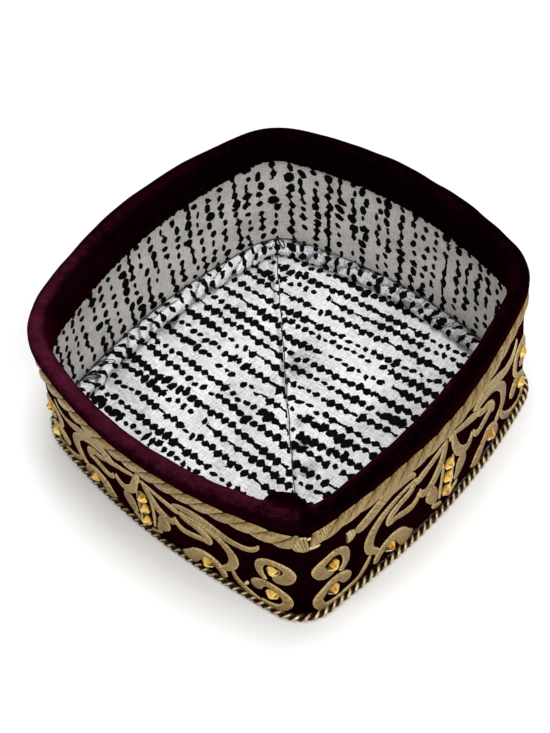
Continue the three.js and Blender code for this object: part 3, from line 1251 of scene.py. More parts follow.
@dataclass
class Studio:
    """The camera, the floor and the soft light."""

    form: WallForm
    elevation: float = 49.11
    distance: float = 520.0
    lens: float = 63.77
    sensor: float = 36.0
    nearest: float = 10.0
    roll: float = -3.34
    yaw: float = 43.05
    aim: Station = (-3.9, -6.0, 35.0)
    floor_size: float = 5000.0
    sky: Colour = (1.0, 0.99, 0.97)
    sky_strength: float = 0.23
    lamps: tuple[Lamp, ...] = (
        Lamp("key light", (330.0, -600.0, 800.0), 520.0, 4.8),
        Lamp("fill light", (-560.0, -420.0, 760.0), 620.0, 2.65),
        Lamp("top light", (55.0, 90.0, 1200.0), 500.0, 9.4),
    )

    def spin(self) -> Matrix:
        """The turn from the camera's own directions to the cap's."""
        return Matrix.Rotation(math.radians(self.yaw), 4, "Z")

    def set_camera(self) -> None:
        """Places the camera where the photo was taken from."""
        tilt = math.radians(self.elevation)
        forward = Vector((0.0, math.cos(tilt), -math.sin(tilt)))
        right = Vector((1.0, 0.0, 0.0))
        up = right.cross(forward)
        turn = math.radians(self.roll)
        across = math.cos(turn) * right + math.sin(turn) * up
        upright = math.cos(turn) * up - math.sin(turn) * right
        facing = Matrix((across, upright, -forward)).transposed().to_4x4()
        place = (Vector(self.aim) - self.distance * forward) * MM
        lens = bpy.data.cameras.new("photo camera")
        lens.lens = self.lens
        lens.sensor_width = self.sensor
        lens.clip_start = self.nearest * MM
        camera = bpy.data.objects.new("photo camera", lens)
        shift = Matrix.Translation((self.form.shift[0] * MM, self.form.shift[1] * MM, 0.0))
        camera.matrix_world = shift @ self.spin() @ Matrix.Translation(place) @ facing
        bpy.context.scene.collection.objects.link(camera)
        bpy.context.scene.camera = camera

    def add_light(self, lamp: Lamp) -> None:
        """Adds a soft light that looks at the cap.

        Args:
            lamp: what it is like.
        """
        area = bpy.data.lights.new(lamp.name, "AREA")
        area.size = lamp.edge * MM
        area.energy = lamp.power
        light = bpy.data.objects.new(lamp.name, area)
        light.location = self.spin() @ Vector(lamp.place) * MM
        light.rotation_euler = (-light.location).to_track_quat("-Z", "Y").to_euler()
        bpy.context.scene.collection.objects.link(light)

    def build(self) -> None:
        """Sets the camera, the floor, the sky and the lights."""
        self.set_camera()
        edges = np.array([-self.floor_size / 2, self.floor_size / 2])
        across, away = np.meshgrid(edges, edges)
        corners = np.stack([across, away, np.zeros_like(across)], axis=-1)
        floor = build_mesh("pale_floor", [Patch(corners, corners[..., :2])], PaleFloor())
        world = bpy.data.worlds.new("studio")
        world.use_nodes = True
        backdrop = world.node_tree.nodes["Background"]
        backdrop.inputs["Color"].default_value = (*self.sky, 1.0)
        backdrop.inputs["Strength"].default_value = self.sky_strength
        bpy.context.scene.world = world
        for lamp in self.lamps:
            self.add_light(lamp)
        bpy.context.scene.view_settings.view_transform = "Standard"


@dataclass(frozen=True)
class PaintedLight:
    """Painted light and shade on the binding, with a value for each corner round to the first: a painted
    highlight along the top of the roll, brightest on the left, and painted shade in the tuck and the fold
    at the front corner.
    """

    least: float = 0.04
    # Strength of the painted highlight by corner, strongest on the left where the light falls.
    by_corner: tuple[float, ...] = (0.66, 0.22, 0.04, 0.92, 0.86)
    outside: tuple[float, ...] = (0.10, 0.05, 0.10, 0.95, 0.55)
    starts_below: float = 1.2
    rise: float = 4.4
    facing: float = 0.35
    shown_middle: float = 0.2
    shown_gain: float = 1.3
    tuck_start: float = 0.95
    tuck_length: float = 0.3
    tuck_shade: float = 0.85
    crease_width: float = 0.012
    crease_shade: float = 0.9
    fold_gain: float = 2.2
    fold_shade: float = 0.8


@dataclass
class VelvetBody:
    """The velvet crown, the band that stands on it and the binding rolled over the rim.

    The crown's edge and the rows of the binding's tables are a height and a depth, and the rows of
    the crown's profile are a share of the way out and a height.
    """

    form: WallForm
    columns: int = 480
    foot: float = 2.3
    top: float = 66.3
    thickness: float = 1.8
    outer_rows: int = 36
    inner_rows: int = 6
    band_tone: float = 0.06
    unevenness: Ripple = Ripple(11, 0.22)
    crown_edge: Pair = (1.0, 0.8)
    crown_tone: float = 0.3
    crown_profile: tuple[Pair, ...] = (
        (0.0, 0.0), (0.25, 0.0), (0.5, 0.0), (0.75, 0.0), (0.92, 0.0), (0.965, 0.35), (0.99, 0.95),
        (1.0, 1.3), (0.985, 2.0), (0.96, 2.0), (0.9, 1.95), (0.6, 1.9), (0.3, 1.9), (0.0, 1.9),
    )
    binding_columns: int = 1920
    leg_foot: float = 62.3
    leg: tuple[Pair, ...] = ((-0.25, -0.36), (-0.35, -0.95), (0.3, -1.5), (1.6, -1.62))
    leg_lump_rise: float = 0.4
    leg_lump_depth: float = 0.3
    roll_middle: float = 1.75
    roll_height: float = 66.5
    roll_radius: float = 3.45
    roll_flattened: float = 0.2
    roll_rows: int = 15
    roll_lumps: Ripple = Ripple(29, 0.24, 13.0, 60.0)
    side_lumps: float = 0.4
    facing_rows: int = 12
    facing_start: float = 0.12
    facing_inset: float = 0.1
    belly: float = 0.8
    belly_from: float = 30.0
    belly_length: float = 25.0
    hem_rag: Ripple = Ripple(23, 0.34, 1.7, 4.5, 14)
    hem_lip: tuple[Pair, ...] = ((-0.25, 4.7), (0.2, 4.1))
    back_rows: int = 5
    back_start: float = 0.1
    back_top: float = 66.4
    back_depth: float = 3.85
    closing: tuple[Pair, ...] = ((67.2, 1.75), (66.4, -0.34))
    pleat_lap: float = -0.030
    pleat_reach: Pair = (0.072, 0.040)
    pleat_depth: float = 6.6
    pleat_round: float = 0.72
    painted_light: PaintedLight = PaintedLight()
    lap_start: float = 3.900
    lap_end: float = 3.998
    lap_columns: int = 44
    lap_turns: Pair = (1.12, -0.10)
    lap_rows: int = 22
    lap_core_rows: int = 12
    lap_thickness: float = 1.0
    lap_lumps: float = 0.6
    lap_inset: float = 0.05
    lap_swell: float = 0.85
    lap_rise: float = 0.6
    lap_rounded: float = 0.12
    lap_end_swell: float = 0.25
    lap_end_sunk: float = 0.5

    def band(self) -> None:
        """The upright wall."""
        laps = whole_turn(self.columns)
        outside = np.linspace(self.foot, self.top, self.outer_rows)[:, None]
        inside = np.linspace(self.top, self.foot, self.inner_rows)[:, None]
        heights = np.vstack([outside, inside]) + 0 * laps
        back = np.full((self.inner_rows, self.columns), self.thickness)
        depths = np.vstack([-self.unevenness.over(laps, outside), back])
        patch = ring_patch(self.form, laps, heights, depths)
        patch.tone = self.band_tone
        piece = register(build_mesh("velvet_band", [patch], VELVET), "velvet", "side_band")

    def crown(self) -> None:
        """The flat top panel that the cap lies on, its edge turned up into the seam."""
        edge = self.form.point(whole_turn(self.columns), *self.crown_edge)
        shares, heights = np.array(self.crown_profile).T
        points = self.form.spokes(edge, shares)
        points[..., 2] = heights[:, None]
        chart = np.concatenate([points, points[:, :1]], axis=1)[..., :2]
        patch = Patch(points, chart, closed_columns=True, tone=self.crown_tone)
        piece = register(build_mesh("velvet_crown", [patch], VELVET), "velvet", "crown")

    def tuck(self, laps: np.ndarray) -> np.ndarray:
        """The tuck at the front corner, from nothing at its ends to one in its middle."""
        off = from_corner(laps, self.pleat_lap)
        return np.clip(1 - (off / np.where(off < 0, *self.pleat_reach)) ** 2, 0.0, 1.0) ** self.pleat_round

    def roll_section(self, laps: np.ndarray) -> tuple[np.ndarray, np.ndarray]:
        """The section of the binding, from its outer hem over the rim to its inner hem and back.

        Args:
            laps: places round the cap.

        Returns:
            Rows of heights and rows of depths.
        """
        level = np.zeros_like(laps)
        lumps = self.roll_lumps.over(laps, 0.0)
        facing = self.form.by_corner(self.form.facing, laps)
        hem = self.form.height - facing + self.hem_rag.over(laps, 0.0)
        pleat = self.tuck(laps) * self.pleat_depth
        rows = []
        for height, depth in self.leg:
            rise = self.leg_foot + height + self.leg_lump_rise * lumps
            rows.append((rise, depth - self.leg_lump_depth * lumps))
        for turn in np.linspace(math.pi, 0, self.roll_rows):
            radius = self.roll_radius + lumps * (self.side_lumps + (1 - self.side_lumps) * math.sin(turn))
            rise = self.roll_height + (radius - self.roll_flattened) * math.sin(turn)
            across = math.cos(turn)
            rows.append((rise, self.roll_middle + radius * across + pleat * max(across, 0.0)))
        facing_depth = self.roll_middle + self.roll_radius - self.facing_inset
        for share in np.linspace(self.facing_start, 1.0, self.facing_rows):
            belly = self.roll_lumps.over(laps, self.belly_from + self.belly_length * share) * self.belly
            rise = self.roll_height + (hem - self.roll_height) * share
            rows.append((rise, facing_depth + belly * arch(share) + pleat * (1 - share) ** 2))
        for height, depth in self.hem_lip:
            rows.append((hem + height, level + depth))
        for share in np.linspace(self.back_start, 1.0, self.back_rows):
            rows.append((hem + (self.back_top - hem) * share, level + self.back_depth))
        for height, depth in self.closing:
            rows.append((level + height, level + depth))
        heights, depths = zip(*rows)
        return np.stack(heights), np.stack(depths)

    def painted_light_tone(self, laps: np.ndarray, heights: np.ndarray, depths: np.ndarray) -> np.ndarray:
        """The painted light of the binding: a painted highlight, most along the top of the roll and on the
        left, with painted shade in the tuck and the fold at the front corner.

        Args:
            laps: places round the cap.
            heights: heights of the points.
            depths: depths of the points.

        Returns:
            A tone for each point.
        """
        painted_light = self.painted_light
        corners = range(SIDES_ROUND + 1)
        by_side = np.interp(laps, corners, painted_light.by_corner)
        outside = np.interp(laps, corners, painted_light.outside)
        # Painted highlight along the top of the roll, dimmer on the outer leg that faces away from the
        # light.
        top = share_of(heights, self.roll_height - painted_light.starts_below, painted_light.rise)
        inward = (depths - self.roll_middle) / self.roll_radius
        facing = np.clip(inward, 0.0, 1.0) * painted_light.facing
        shown = np.clip(inward * painted_light.shown_gain + painted_light.shown_middle, 0.0, 1.0)
        shown = outside + (1 - outside) * shown
        # Painted shade where the binding turns inside, in the fold at the front corner and over the pleat.
        tucked = 1 - painted_light.tuck_shade * share_of(inward, painted_light.tuck_start, painted_light.tuck_length)
        creased = 1 - painted_light.crease_shade * bump(from_corner(laps, 0.0), painted_light.crease_width)
        folded = 1 - painted_light.fold_shade * self.tuck(laps) * np.clip(inward * painted_light.fold_gain, 0.0, 1.0)
        return painted_light.least + np.maximum(top * shown, facing) * by_side * tucked * creased * folded

    def binding(self) -> None:
        """The roll over the rim with its uneven facing inside."""
        laps = whole_turn(self.binding_columns)
        heights, depths = self.roll_section(laps)
        patch = ring_patch(self.form, laps, heights, depths)
        # The tone is painted light: a painted highlight on the roll and painted shade in the tuck and fold.
        patch.tone = self.painted_light_tone(laps, heights, depths)
        piece = register(build_mesh("velvet_binding", [patch], VELVET), "velvet", "rim_binding")

    def binding_lap(self) -> None:
        """The end of the binding, lapped over its start at the front corner."""
        laps = np.linspace(self.lap_start, self.lap_end, self.lap_columns)
        shares = np.linspace(0, 1, self.lap_columns)
        end = np.sqrt(1 - share_of(shares, 1 - self.lap_rounded, self.lap_rounded) ** 2)
        swell = self.lap_swell * np.minimum(shares / self.lap_rise, 1.0)
        swell = swell * (self.lap_end_swell + (1 - self.lap_end_swell) * end)
        swell = swell - self.lap_end_sunk * (1 - end)
        first, last = (turn * math.pi for turn in self.lap_turns)
        turns = np.linspace(first, last, self.lap_rows)[:, None]
        core = np.linspace(last, first, self.lap_core_rows)[:, None]
        lumps = self.roll_lumps.over(laps, 0.0) * self.lap_lumps
        radius = self.roll_radius + lumps + swell - self.lap_inset
        small = self.roll_radius - self.lap_thickness + 0 * laps
        rises = [(radius - self.roll_flattened) * np.sin(turns), small * np.sin(core)]
        heights = self.roll_height + np.vstack(rises)
        depths = self.roll_middle + np.vstack([radius * np.cos(turns), small * np.cos(core)])
        points = self.form.point(laps[None, :], heights, depths)
        closed = np.concatenate([points, points[:1]], axis=0)
        patch = Patch(points, closed[..., :2], closed_rows=True, capped=True)
        # The same painted light and shade as on the binding.
        patch.tone = self.painted_light_tone(laps, heights, depths)
        register(build_mesh("velvet_binding_lap", [patch], VELVET), "velvet")

    def build(self) -> None:
        """Builds and dresses the velvet pieces."""
        self.crown()
        self.band()
        self.binding()
        self.binding_lap()


@dataclass(frozen=True)
class Stroke:
    """One satin-stitched stroke: places across and up its side, with half widths, from end to end."""

    name: str
    stations: tuple[Station, ...]
    ending: Ending = Ending.ROUND


@dataclass(frozen=True)
class Wrap:
    """Thread wound at the front corner: the side that it is on, its stroke, tone and fullness."""

    side: int
    stroke: Stroke
    tone: float
    fullness: float = 1.0


@dataclass
class GoldWork:
    """The stitched rope under the rim and the scrolls on each side.

    The rows of rope_sags hold a lap, a rise and a spread. Those of side_drop hold how far the
    scrolls of a side are lowered by its first corner and by its last.
    """

    form: WallForm
    step: float = 0.6
    least_width: float = 0.2
    dome_points: int = 11
    dome_square: float = 4.5
    dome_round: float = 0.7
    underside: float = 0.8
    rooted: float = 0.1
    sunk: float = 0.4
    base_height: float = 0.45
    height_by_width: float = 0.16
    tallest: float = 1.0
    end_reach: float = 0.8
    end_height: float = 0.06
    lift_base: float = 12.0
    edge_light: float = 0.95
    edge_width: float = 0.5
    breadth: float = 1.05
    hand: float = 0.3
    scroll_seed: int = 41
    scroll_tones: Pair = (0.12, 0.34)
    bud_tone: float = 0.4
    side_drop: tuple[Pair, ...] = ((0.0, 2.4), (0.8, 0.8), (0.8, 0.8), (4.5, 3.2))
    drop_reach: float = 40.0
    drop_height: float = 45.0
    lobes: int = 17
    lobe_columns: int = 15
    lobe_rows: int = 17
    lobe_lean: float = 4.6
    lobe_straight: float = 0.65
    lobe_curl: float = 0.35
    lobe_overlap: float = 1.01
    lobe_reach: float = 4.3
    lobe_waist: float = 0.17
    lobe_relief: float = 1.6
    lobe_root: float = 0.15
    lobe_round: float = 0.6
    lobe_square: Pair = (2.6, 3.4)
    lobe_slant: float = 0.3
    lobe_light: float = 0.45
    groove: float = 0.22
    groove_shade: float = 1.3
    groove_square: float = 14.0
    thinned: float = 0.2
    thinned_lap: float = 0.85
    thinned_reach: float = 0.3
    rope_seed: int = 57
    rope_tones: Pair = (0.22, 0.48)
    rope_height: float = 54.5
    rope_start: float = -71.6
    rope_end: float = 70.6
    end_lean: float = 0.8
    rope_sags: tuple[Station, ...] = (
        (0.12, 1.4, 0.14), (0.56, -3.3, 0.26), (1.5, -1.5, 0.28),
        (2.5, -1.5, 0.28), (3.3, -2.8, 0.3), (3.95, -1.9, 0.1),
    )
    scroll: tuple[Stroke, ...] = (
        Stroke("outer stem", (
            (20, 41.6, 0.5), (27, 41.2, 0.9), (33, 39.6, 1.4), (39, 35.8, 1.9), (43.2, 30.2, 2.3),
            (44.4, 24.5, 2.3), (43.4, 19, 2.0), (41, 15, 1.7), (38.6, 12.4, 1.3),
        )),
        Stroke("corner tail", (
            (43, 15.5, 0.7), (44.6, 11, 1.3), (47.8, 6.9, 1.6), (52.5, 4.3, 1.4), (57, 3.3, 0.8),
        )),
        Stroke("leaf", (
            (39.6, 4.8, 1.5), (38.4, 9.2, 1.9), (35.6, 12.8, 2.4), (30.8, 14.4, 2.8), (27, 12.4, 3.0),
            (24.6, 8.6, 3.3), (22.8, 5.2, 3.7), (22.2, 4.2, 3.9),
        ), Ending.CUT),
        Stroke("upper fleur", (
            (21.2, 40.6, 1.1), (22, 37.4, 1.5), (25, 35.3, 1.7), (29, 34.4, 2.0), (32.6, 31.7, 2.0),
            (33.9, 28.4, 1.6), (33.8, 25.4, 0.5),
        )),
        Stroke("lower fleur", (
            (34.5, 26.4, 0.8), (30.5, 27.3, 1.5), (26, 25.6, 1.8), (21.5, 24.8, 1.8), (18.8, 27, 1.2),
            (18, 30.5, 0.3),
        )),
        Stroke("drop", (
            (2.2, 46.4, 0.9), (7, 44.4, 1.5), (12, 42.6, 1.8), (17, 40.6, 2.0), (20.5, 38.3, 1.4),
        )),
        Stroke("lyre", (
            (2.2, 47, 0.9), (3.1, 42, 1.5), (4.7, 36, 1.9), (7.1, 30.5, 2.2), (10.8, 26.4, 2.5),
            (14.3, 26.2, 2.1), (16.3, 29, 1.2), (16.8, 32, 0.3),
        )),
        Stroke("petal", (
            (9.8, 23.5, 2.0), (9.6, 19.5, 3.2), (8.9, 16, 3.0), (7.6, 12.8, 2.1), (6.2, 10, 0.9),
        )),
        Stroke("foot", ((7.8, 9.6, 0.6), (6.2, 7.2, 1.2), (3.6, 5.7, 1.2), (1.2, 5.2, 0.7))),
        Stroke("column rail", ((3.6, 32, 0.5), (3.9, 26, 0.7), (4.0, 18, 0.7), (3.7, 9, 0.6))),
        Stroke("upper eye", (
            (61, 25.2, 1.8), (64, 25.2, 2.6), (67, 27.4, 2.9), (68.3, 31.4, 2.4), (66, 35.4, 2.0),
            (61.6, 36.9, 1.9), (57.6, 34.6, 1.8), (55.9, 30, 1.7), (56.4, 25, 1.5), (58.6, 21, 1.1),
        )),
        Stroke("lower eye", (
            (55.8, 10.8, 1.8), (54.8, 14, 2.7), (57.6, 17.4, 2.3), (62.4, 17, 2.0), (66.4, 13, 2.1),
            (67.6, 8.4, 2.1), (65.2, 4.4, 1.8), (60.5, 3.2, 1.3), (56, 3.6, 0.8),
        )),
    )
    bud: Stroke = Stroke("bud", ((0, 50.5, 1.2), (0, 47, 0.9), (0, 43, 0.4)))
    leaves: tuple[tuple[LeafTip, Stroke], ...] = (
        (LeafTip.UPTURNED, Stroke("upper leaf", (
            (17, 43, 1.0), (20.5, 45.0, 1.8), (26, 45.7, 2.4), (32, 44.4, 2.4), (38, 41.9, 2.4),
            (44, 39.5, 2.2), (49, 38.8, 1.9), (52.6, 40.2, 1.5), (55.2, 43, 1.0), (56.2, 46.2, 0.3),
        ))),
        (LeafTip.WRAPPED, Stroke("upper leaf", (
            (21, 44.6, 0.8), (25, 47, 1.9), (30, 48.4, 2.7), (35, 48.2, 2.9), (40, 46.4, 3.1),
            (45, 43.6, 3.1), (49, 41.4, 2.9), (52, 40.6, 2.6),
        ))),
    )
    wound: tuple[Wrap, ...] = (
        Wrap(3, Stroke("rope end", (
            (68.4, 53.4, 4.2), (70.4, 54.0, 4.7), (72.4, 54.6, 4.9), (74.8, 55.0, 4.3),
        ), Ending.CUT), 0.25, 1.35),
        Wrap(3, Stroke("spark", ((48.8, 9.4, 0.5), (50.2, 10.8, 0.8), (50.3, 12.6, 0.4))), 0.9, 1.3),
        Wrap(3, Stroke("upper tie", ((72.6, 57.6, 0.45), (75.4, 58.0, 0.6), (78.2, 58.2, 0.4))), 0.9),
        Wrap(3, Stroke("lower tie", ((74.0, 51.6, 0.5), (76.4, 51.6, 0.8), (79.4, 52.0, 0.4))), 0.7),
        Wrap(0, Stroke("leaf end", (
            (-51.5, 41.3, 2.9), (-53.5, 41.0, 3.2), (-56.0, 40.8, 3.4),
        ), Ending.CUT), 0.35, 1.2),
    )

    def sag(self, laps: np.ndarray) -> np.ndarray:
        """How far the rope runs above its level line, or below it if negative."""
        return sum(rise * bump(from_corner(laps, lap), spread) for lap, rise, spread in self.rope_sags)

    def dome(self, count: int) -> np.ndarray:
        """Places across a stroke from edge to edge over its top, and two back along its underside."""
        over = np.sin(np.linspace(-HALF, HALF, count) * math.pi)
        return np.concatenate([over, [self.underside, -self.underside]])

    def sweep(
        self,
        index: int,
        stations: np.ndarray,
        tone: float,
        fullness: float = 1.0,
        ending: Ending = Ending.ROUND,
    ) -> Patch:
        """A padded stroke on one side of the cap.

        Args:
            index: the side, from the front corner.
            stations: places across and up the side, with half widths.
            tone: how bright its thread is.
            fullness: how high it stands, against the usual.
            ending: how its far end is finished.

        Returns:
            The stroke as a closed patch.
        """
        path = smooth_path(stations, self.step)
        place = path[:, :2]
        width = np.maximum(path[:, 2], self.least_width)
        ahead = unit(np.gradient(place, axis=0))
        beside = np.column_stack([-ahead[:, 1], ahead[:, 0]])
        run = np.arange(len(path)) * self.step
        to_end = run[::-1] if ending is Ending.ROUND else run[::-1] + width
        inset = np.clip(np.minimum(run, to_end) / np.maximum(width, self.end_reach), 0.0, 1.0)
        rounding = np.sqrt(inset * (2 - inset)) * (1 - self.end_height) + self.end_height
        height = np.minimum(self.base_height + self.height_by_width * width, self.tallest)
        height = height * fullness * rounding
        section = self.dome(self.dome_points)
        dome = (1 - np.abs(section[:, None]) ** self.dome_square) ** self.dome_round
        relief = dome * (height + self.rooted)[None, :] - self.rooted
        relief[-2:] = -self.sunk
        spots = place[None] + section[:, None, None] * (width * rounding)[None, :, None] * beside[None]
        across, up = spots[..., 0], spots[..., 1]
        laps = index + HALF + across / SIDE_LENGTH
        drop = np.interp(across, (-self.drop_reach, self.drop_reach), self.side_drop[index])
        lowered = drop * share_of(up, 0.0, self.drop_height)
        lifted = self.form.by_corner(self.form.lift, laps) * share_of(up, 0.0, self.lift_base)
        points = self.form.raised(laps, up - lowered + lifted, relief)
        over = np.append(section, section[0])[:, None] * width[None, :]
        chart = np.stack(np.broadcast_arrays(over, run[None, :]), axis=-1)
        from_edge = (1 - np.abs(section))[:, None] * width[None, :]
        edged = tone + self.edge_light * bump(from_edge, self.edge_width)
        return Patch(points, chart, closed_rows=True, capped=True, tone=edged)

    def half(self, index: int, hand: int, chance: np.random.Generator) -> list[Patch]:
        """The strokes on one half of a side.

        Args:
            index: the side, from the front corner.
            hand: one for the half by the next corner, minus one for the other.
            chance: where the unevenness of handwork comes from.

        Returns:
            The half's strokes.
        """
        tip = LeafTip.WRAPPED if index == 0 and hand < 0 else LeafTip.UPTURNED
        patches = []
        for stroke in [*self.scroll, dict(self.leaves)[tip]]:
            stations = np.array(stroke.stations, float)
            stations[:, :2] += chance.normal(0, self.hand * HALF, (len(stations), 2))
            stations[:, :2] += chance.normal(0, self.hand, 2)
            stations[:, 0] *= hand
            stations[:, 2] *= self.breadth
            tone = chance.uniform(*self.scroll_tones)
            patches.append(self.sweep(index, stations, tone, ending=stroke.ending))
            LOG.debug("%s on side %d", stroke.name, index)
        return patches

    def scrolls(self) -> None:
        """One piece of scroll embroidery for each side."""
        for index, side in enumerate(self.form.sides):
            chance = np.random.default_rng(self.scroll_seed + index)
            patches = self.half(index, -1, chance) + self.half(index, 1, chance)
            patches.append(self.sweep(index, np.array(self.bud.stations, float), self.bud_tone))
            register(build_mesh(f"gold_scroll_{side.name}", patches, GOLD), "gold_thread")

    def lobe(self, index: int, span: Pair, leans: Pair, tone: float) -> Patch:
        """One slanted lobe of the rope, which touches its neighbours in a groove.

        Args:
            index: the side, from the front corner.
            span: where on the side it starts and ends.
            leans: how far its start and its end slant along the rope.
            tone: how bright its thread is.

        Returns:
            The lobe as a closed patch.
        """
        along = np.sin(np.linspace(-HALF, HALF, self.lobe_columns) * math.pi)[None, :]
        up = self.dome(self.lobe_rows)[:, None]
        middle = sum(span) / 2
        half = (span[1] - span[0]) / 2
        off = from_corner(index + HALF + middle / SIDE_LENGTH, self.thinned_lap)
        reach = self.lobe_reach * (1 - self.thinned * bump(off, self.thinned_reach))
        lean = leans[0] + (leans[1] - leans[0]) * (along + 1) / 2
        slanted = lean * (self.lobe_straight * up + self.lobe_curl * up**3)
        places = middle + along * half * self.lobe_overlap + slanted
        heights = self.rope_height + reach * up * (1 - self.lobe_waist * along**2)
        square_along, square_up = self.lobe_square
        swell = (1 - np.abs(along) ** square_along) ** self.lobe_round
        swell = self.groove + (1 - self.groove) * swell
        relief = self.lobe_relief * swell + self.lobe_root
        relief = relief * (1 - np.abs(up) ** square_up) ** self.lobe_round - self.lobe_root
        relief[-2:] = -self.sunk
        laps = index + HALF + places / SIDE_LENGTH
        heights = heights + self.form.by_corner(self.form.lift, laps) + self.sag(laps)
        points = self.form.raised(laps, heights, relief)
        flat = (reach * up, along * half + self.lobe_slant * reach * up)
        chart = np.stack(np.broadcast_arrays(*flat), axis=-1)
        # Painted shade in the grooves between lobes and a painted highlight along each lobe's upper and
        # lower edges, over the lobe's own tone.
        seams = tone - self.groove_shade * np.abs(along) ** self.groove_square
        seams = seams + self.lobe_light * bump((1 - np.abs(up)) * reach, self.edge_width)
        return Patch(points, np.concatenate([chart, chart[:1]]), closed_rows=True, capped=True, tone=seams)

    def rope(self) -> None:
        """The border of slanted lobes that looks like a rope."""
        chance = np.random.default_rng(self.rope_seed)
        pitch = SIDE_LENGTH / self.lobes
        patches = []
        for index in range(SIDES_ROUND):
            for lobe in range(self.lobes):
                start = lobe * pitch - SIDE_LENGTH / 2
                end = start + pitch
                leans = [self.lobe_lean, self.lobe_lean]
                if index == 0 and lobe == 0:
                    start = self.rope_start
                    leans[0] = self.end_lean
                if index == SIDES_ROUND - 1 and lobe == self.lobes - 1:
                    end = self.rope_end
                    leans[1] = self.end_lean
                tone = chance.uniform(*self.rope_tones)
                patches.append(self.lobe(index, (start, end), tuple(leans), tone))
        register(build_mesh("gold_rope", patches, GOLD), "gold_thread", "rope_border")

    def wraps(self) -> None:
        """Bright wound thread where the rope and a leaf end at the front corner."""
        patches = []
        for wrap in self.wound:
            stations = np.array(wrap.stroke.stations)
            patches.append(self.sweep(wrap.side, stations, wrap.tone, wrap.fullness, wrap.stroke.ending))
        register(build_mesh("gold_wraps", patches, METAL), "gold_thread")

    def build(self) -> None:
        """Builds and dresses the gold embroidery."""
        self.scrolls()
        self.rope()
        self.wraps()


@dataclass
class CrownCord:
    """The twisted gold cord sewn round the edge of the crown, tucked closer to the wall on the left."""

    form: WallForm
    depth: float = -1.42
    height: float = 1.85
    tucked_in: float = 1.1
    tucked_shade: float = 0.2
    tucked_lap: float = 3.5
    tucked_reach: float = 0.42
    strands: int = 2
    strand_radius: float = 0.88
    strand_sides: int = 8
    strand_shift: float = 1000.0
    twist_radius: float = 0.7
    turns: int = 80
    stations_per_turn: int = 14

    def build(self) -> None:
        """Twists the strands round the crown's edge."""
        count = self.turns * self.stations_per_turn
        laps = whole_turn(count)
        tucked = bump(from_corner(laps, self.tucked_lap), self.tucked_reach)
        middle = self.form.point(laps, self.height, self.depth + self.tucked_in * tucked)
        outward = self.form.outward(laps, self.height)
        upward = np.broadcast_to(UP, outward.shape)
        patches = []
        for strand in range(self.strands):
            turn = FULL_TURN * (np.arange(count) / self.stations_per_turn + strand / self.strands)
            spoke = np.cos(turn)[:, None] * outward + np.sin(turn)[:, None] * upward
            path = middle + self.twist_radius * spoke
            patch = tube_patch(path, self.strand_radius, self.strand_sides, True, spoke)
            patch.chart = patch.chart + np.array([0.0, self.strand_shift * strand])
            patch.tone = -self.tucked_shade * tucked
            patches.append(patch)
        register(build_mesh("twisted_cord", patches, TwistedMetal()), "gold_cord", "crown_cord")


@dataclass(frozen=True)
class Dent:
    """A hollow in the crown's lining: along and beside the diagonal seam, with a depth and a spread."""

    along: float
    beside: float
    depth: float
    spread: float


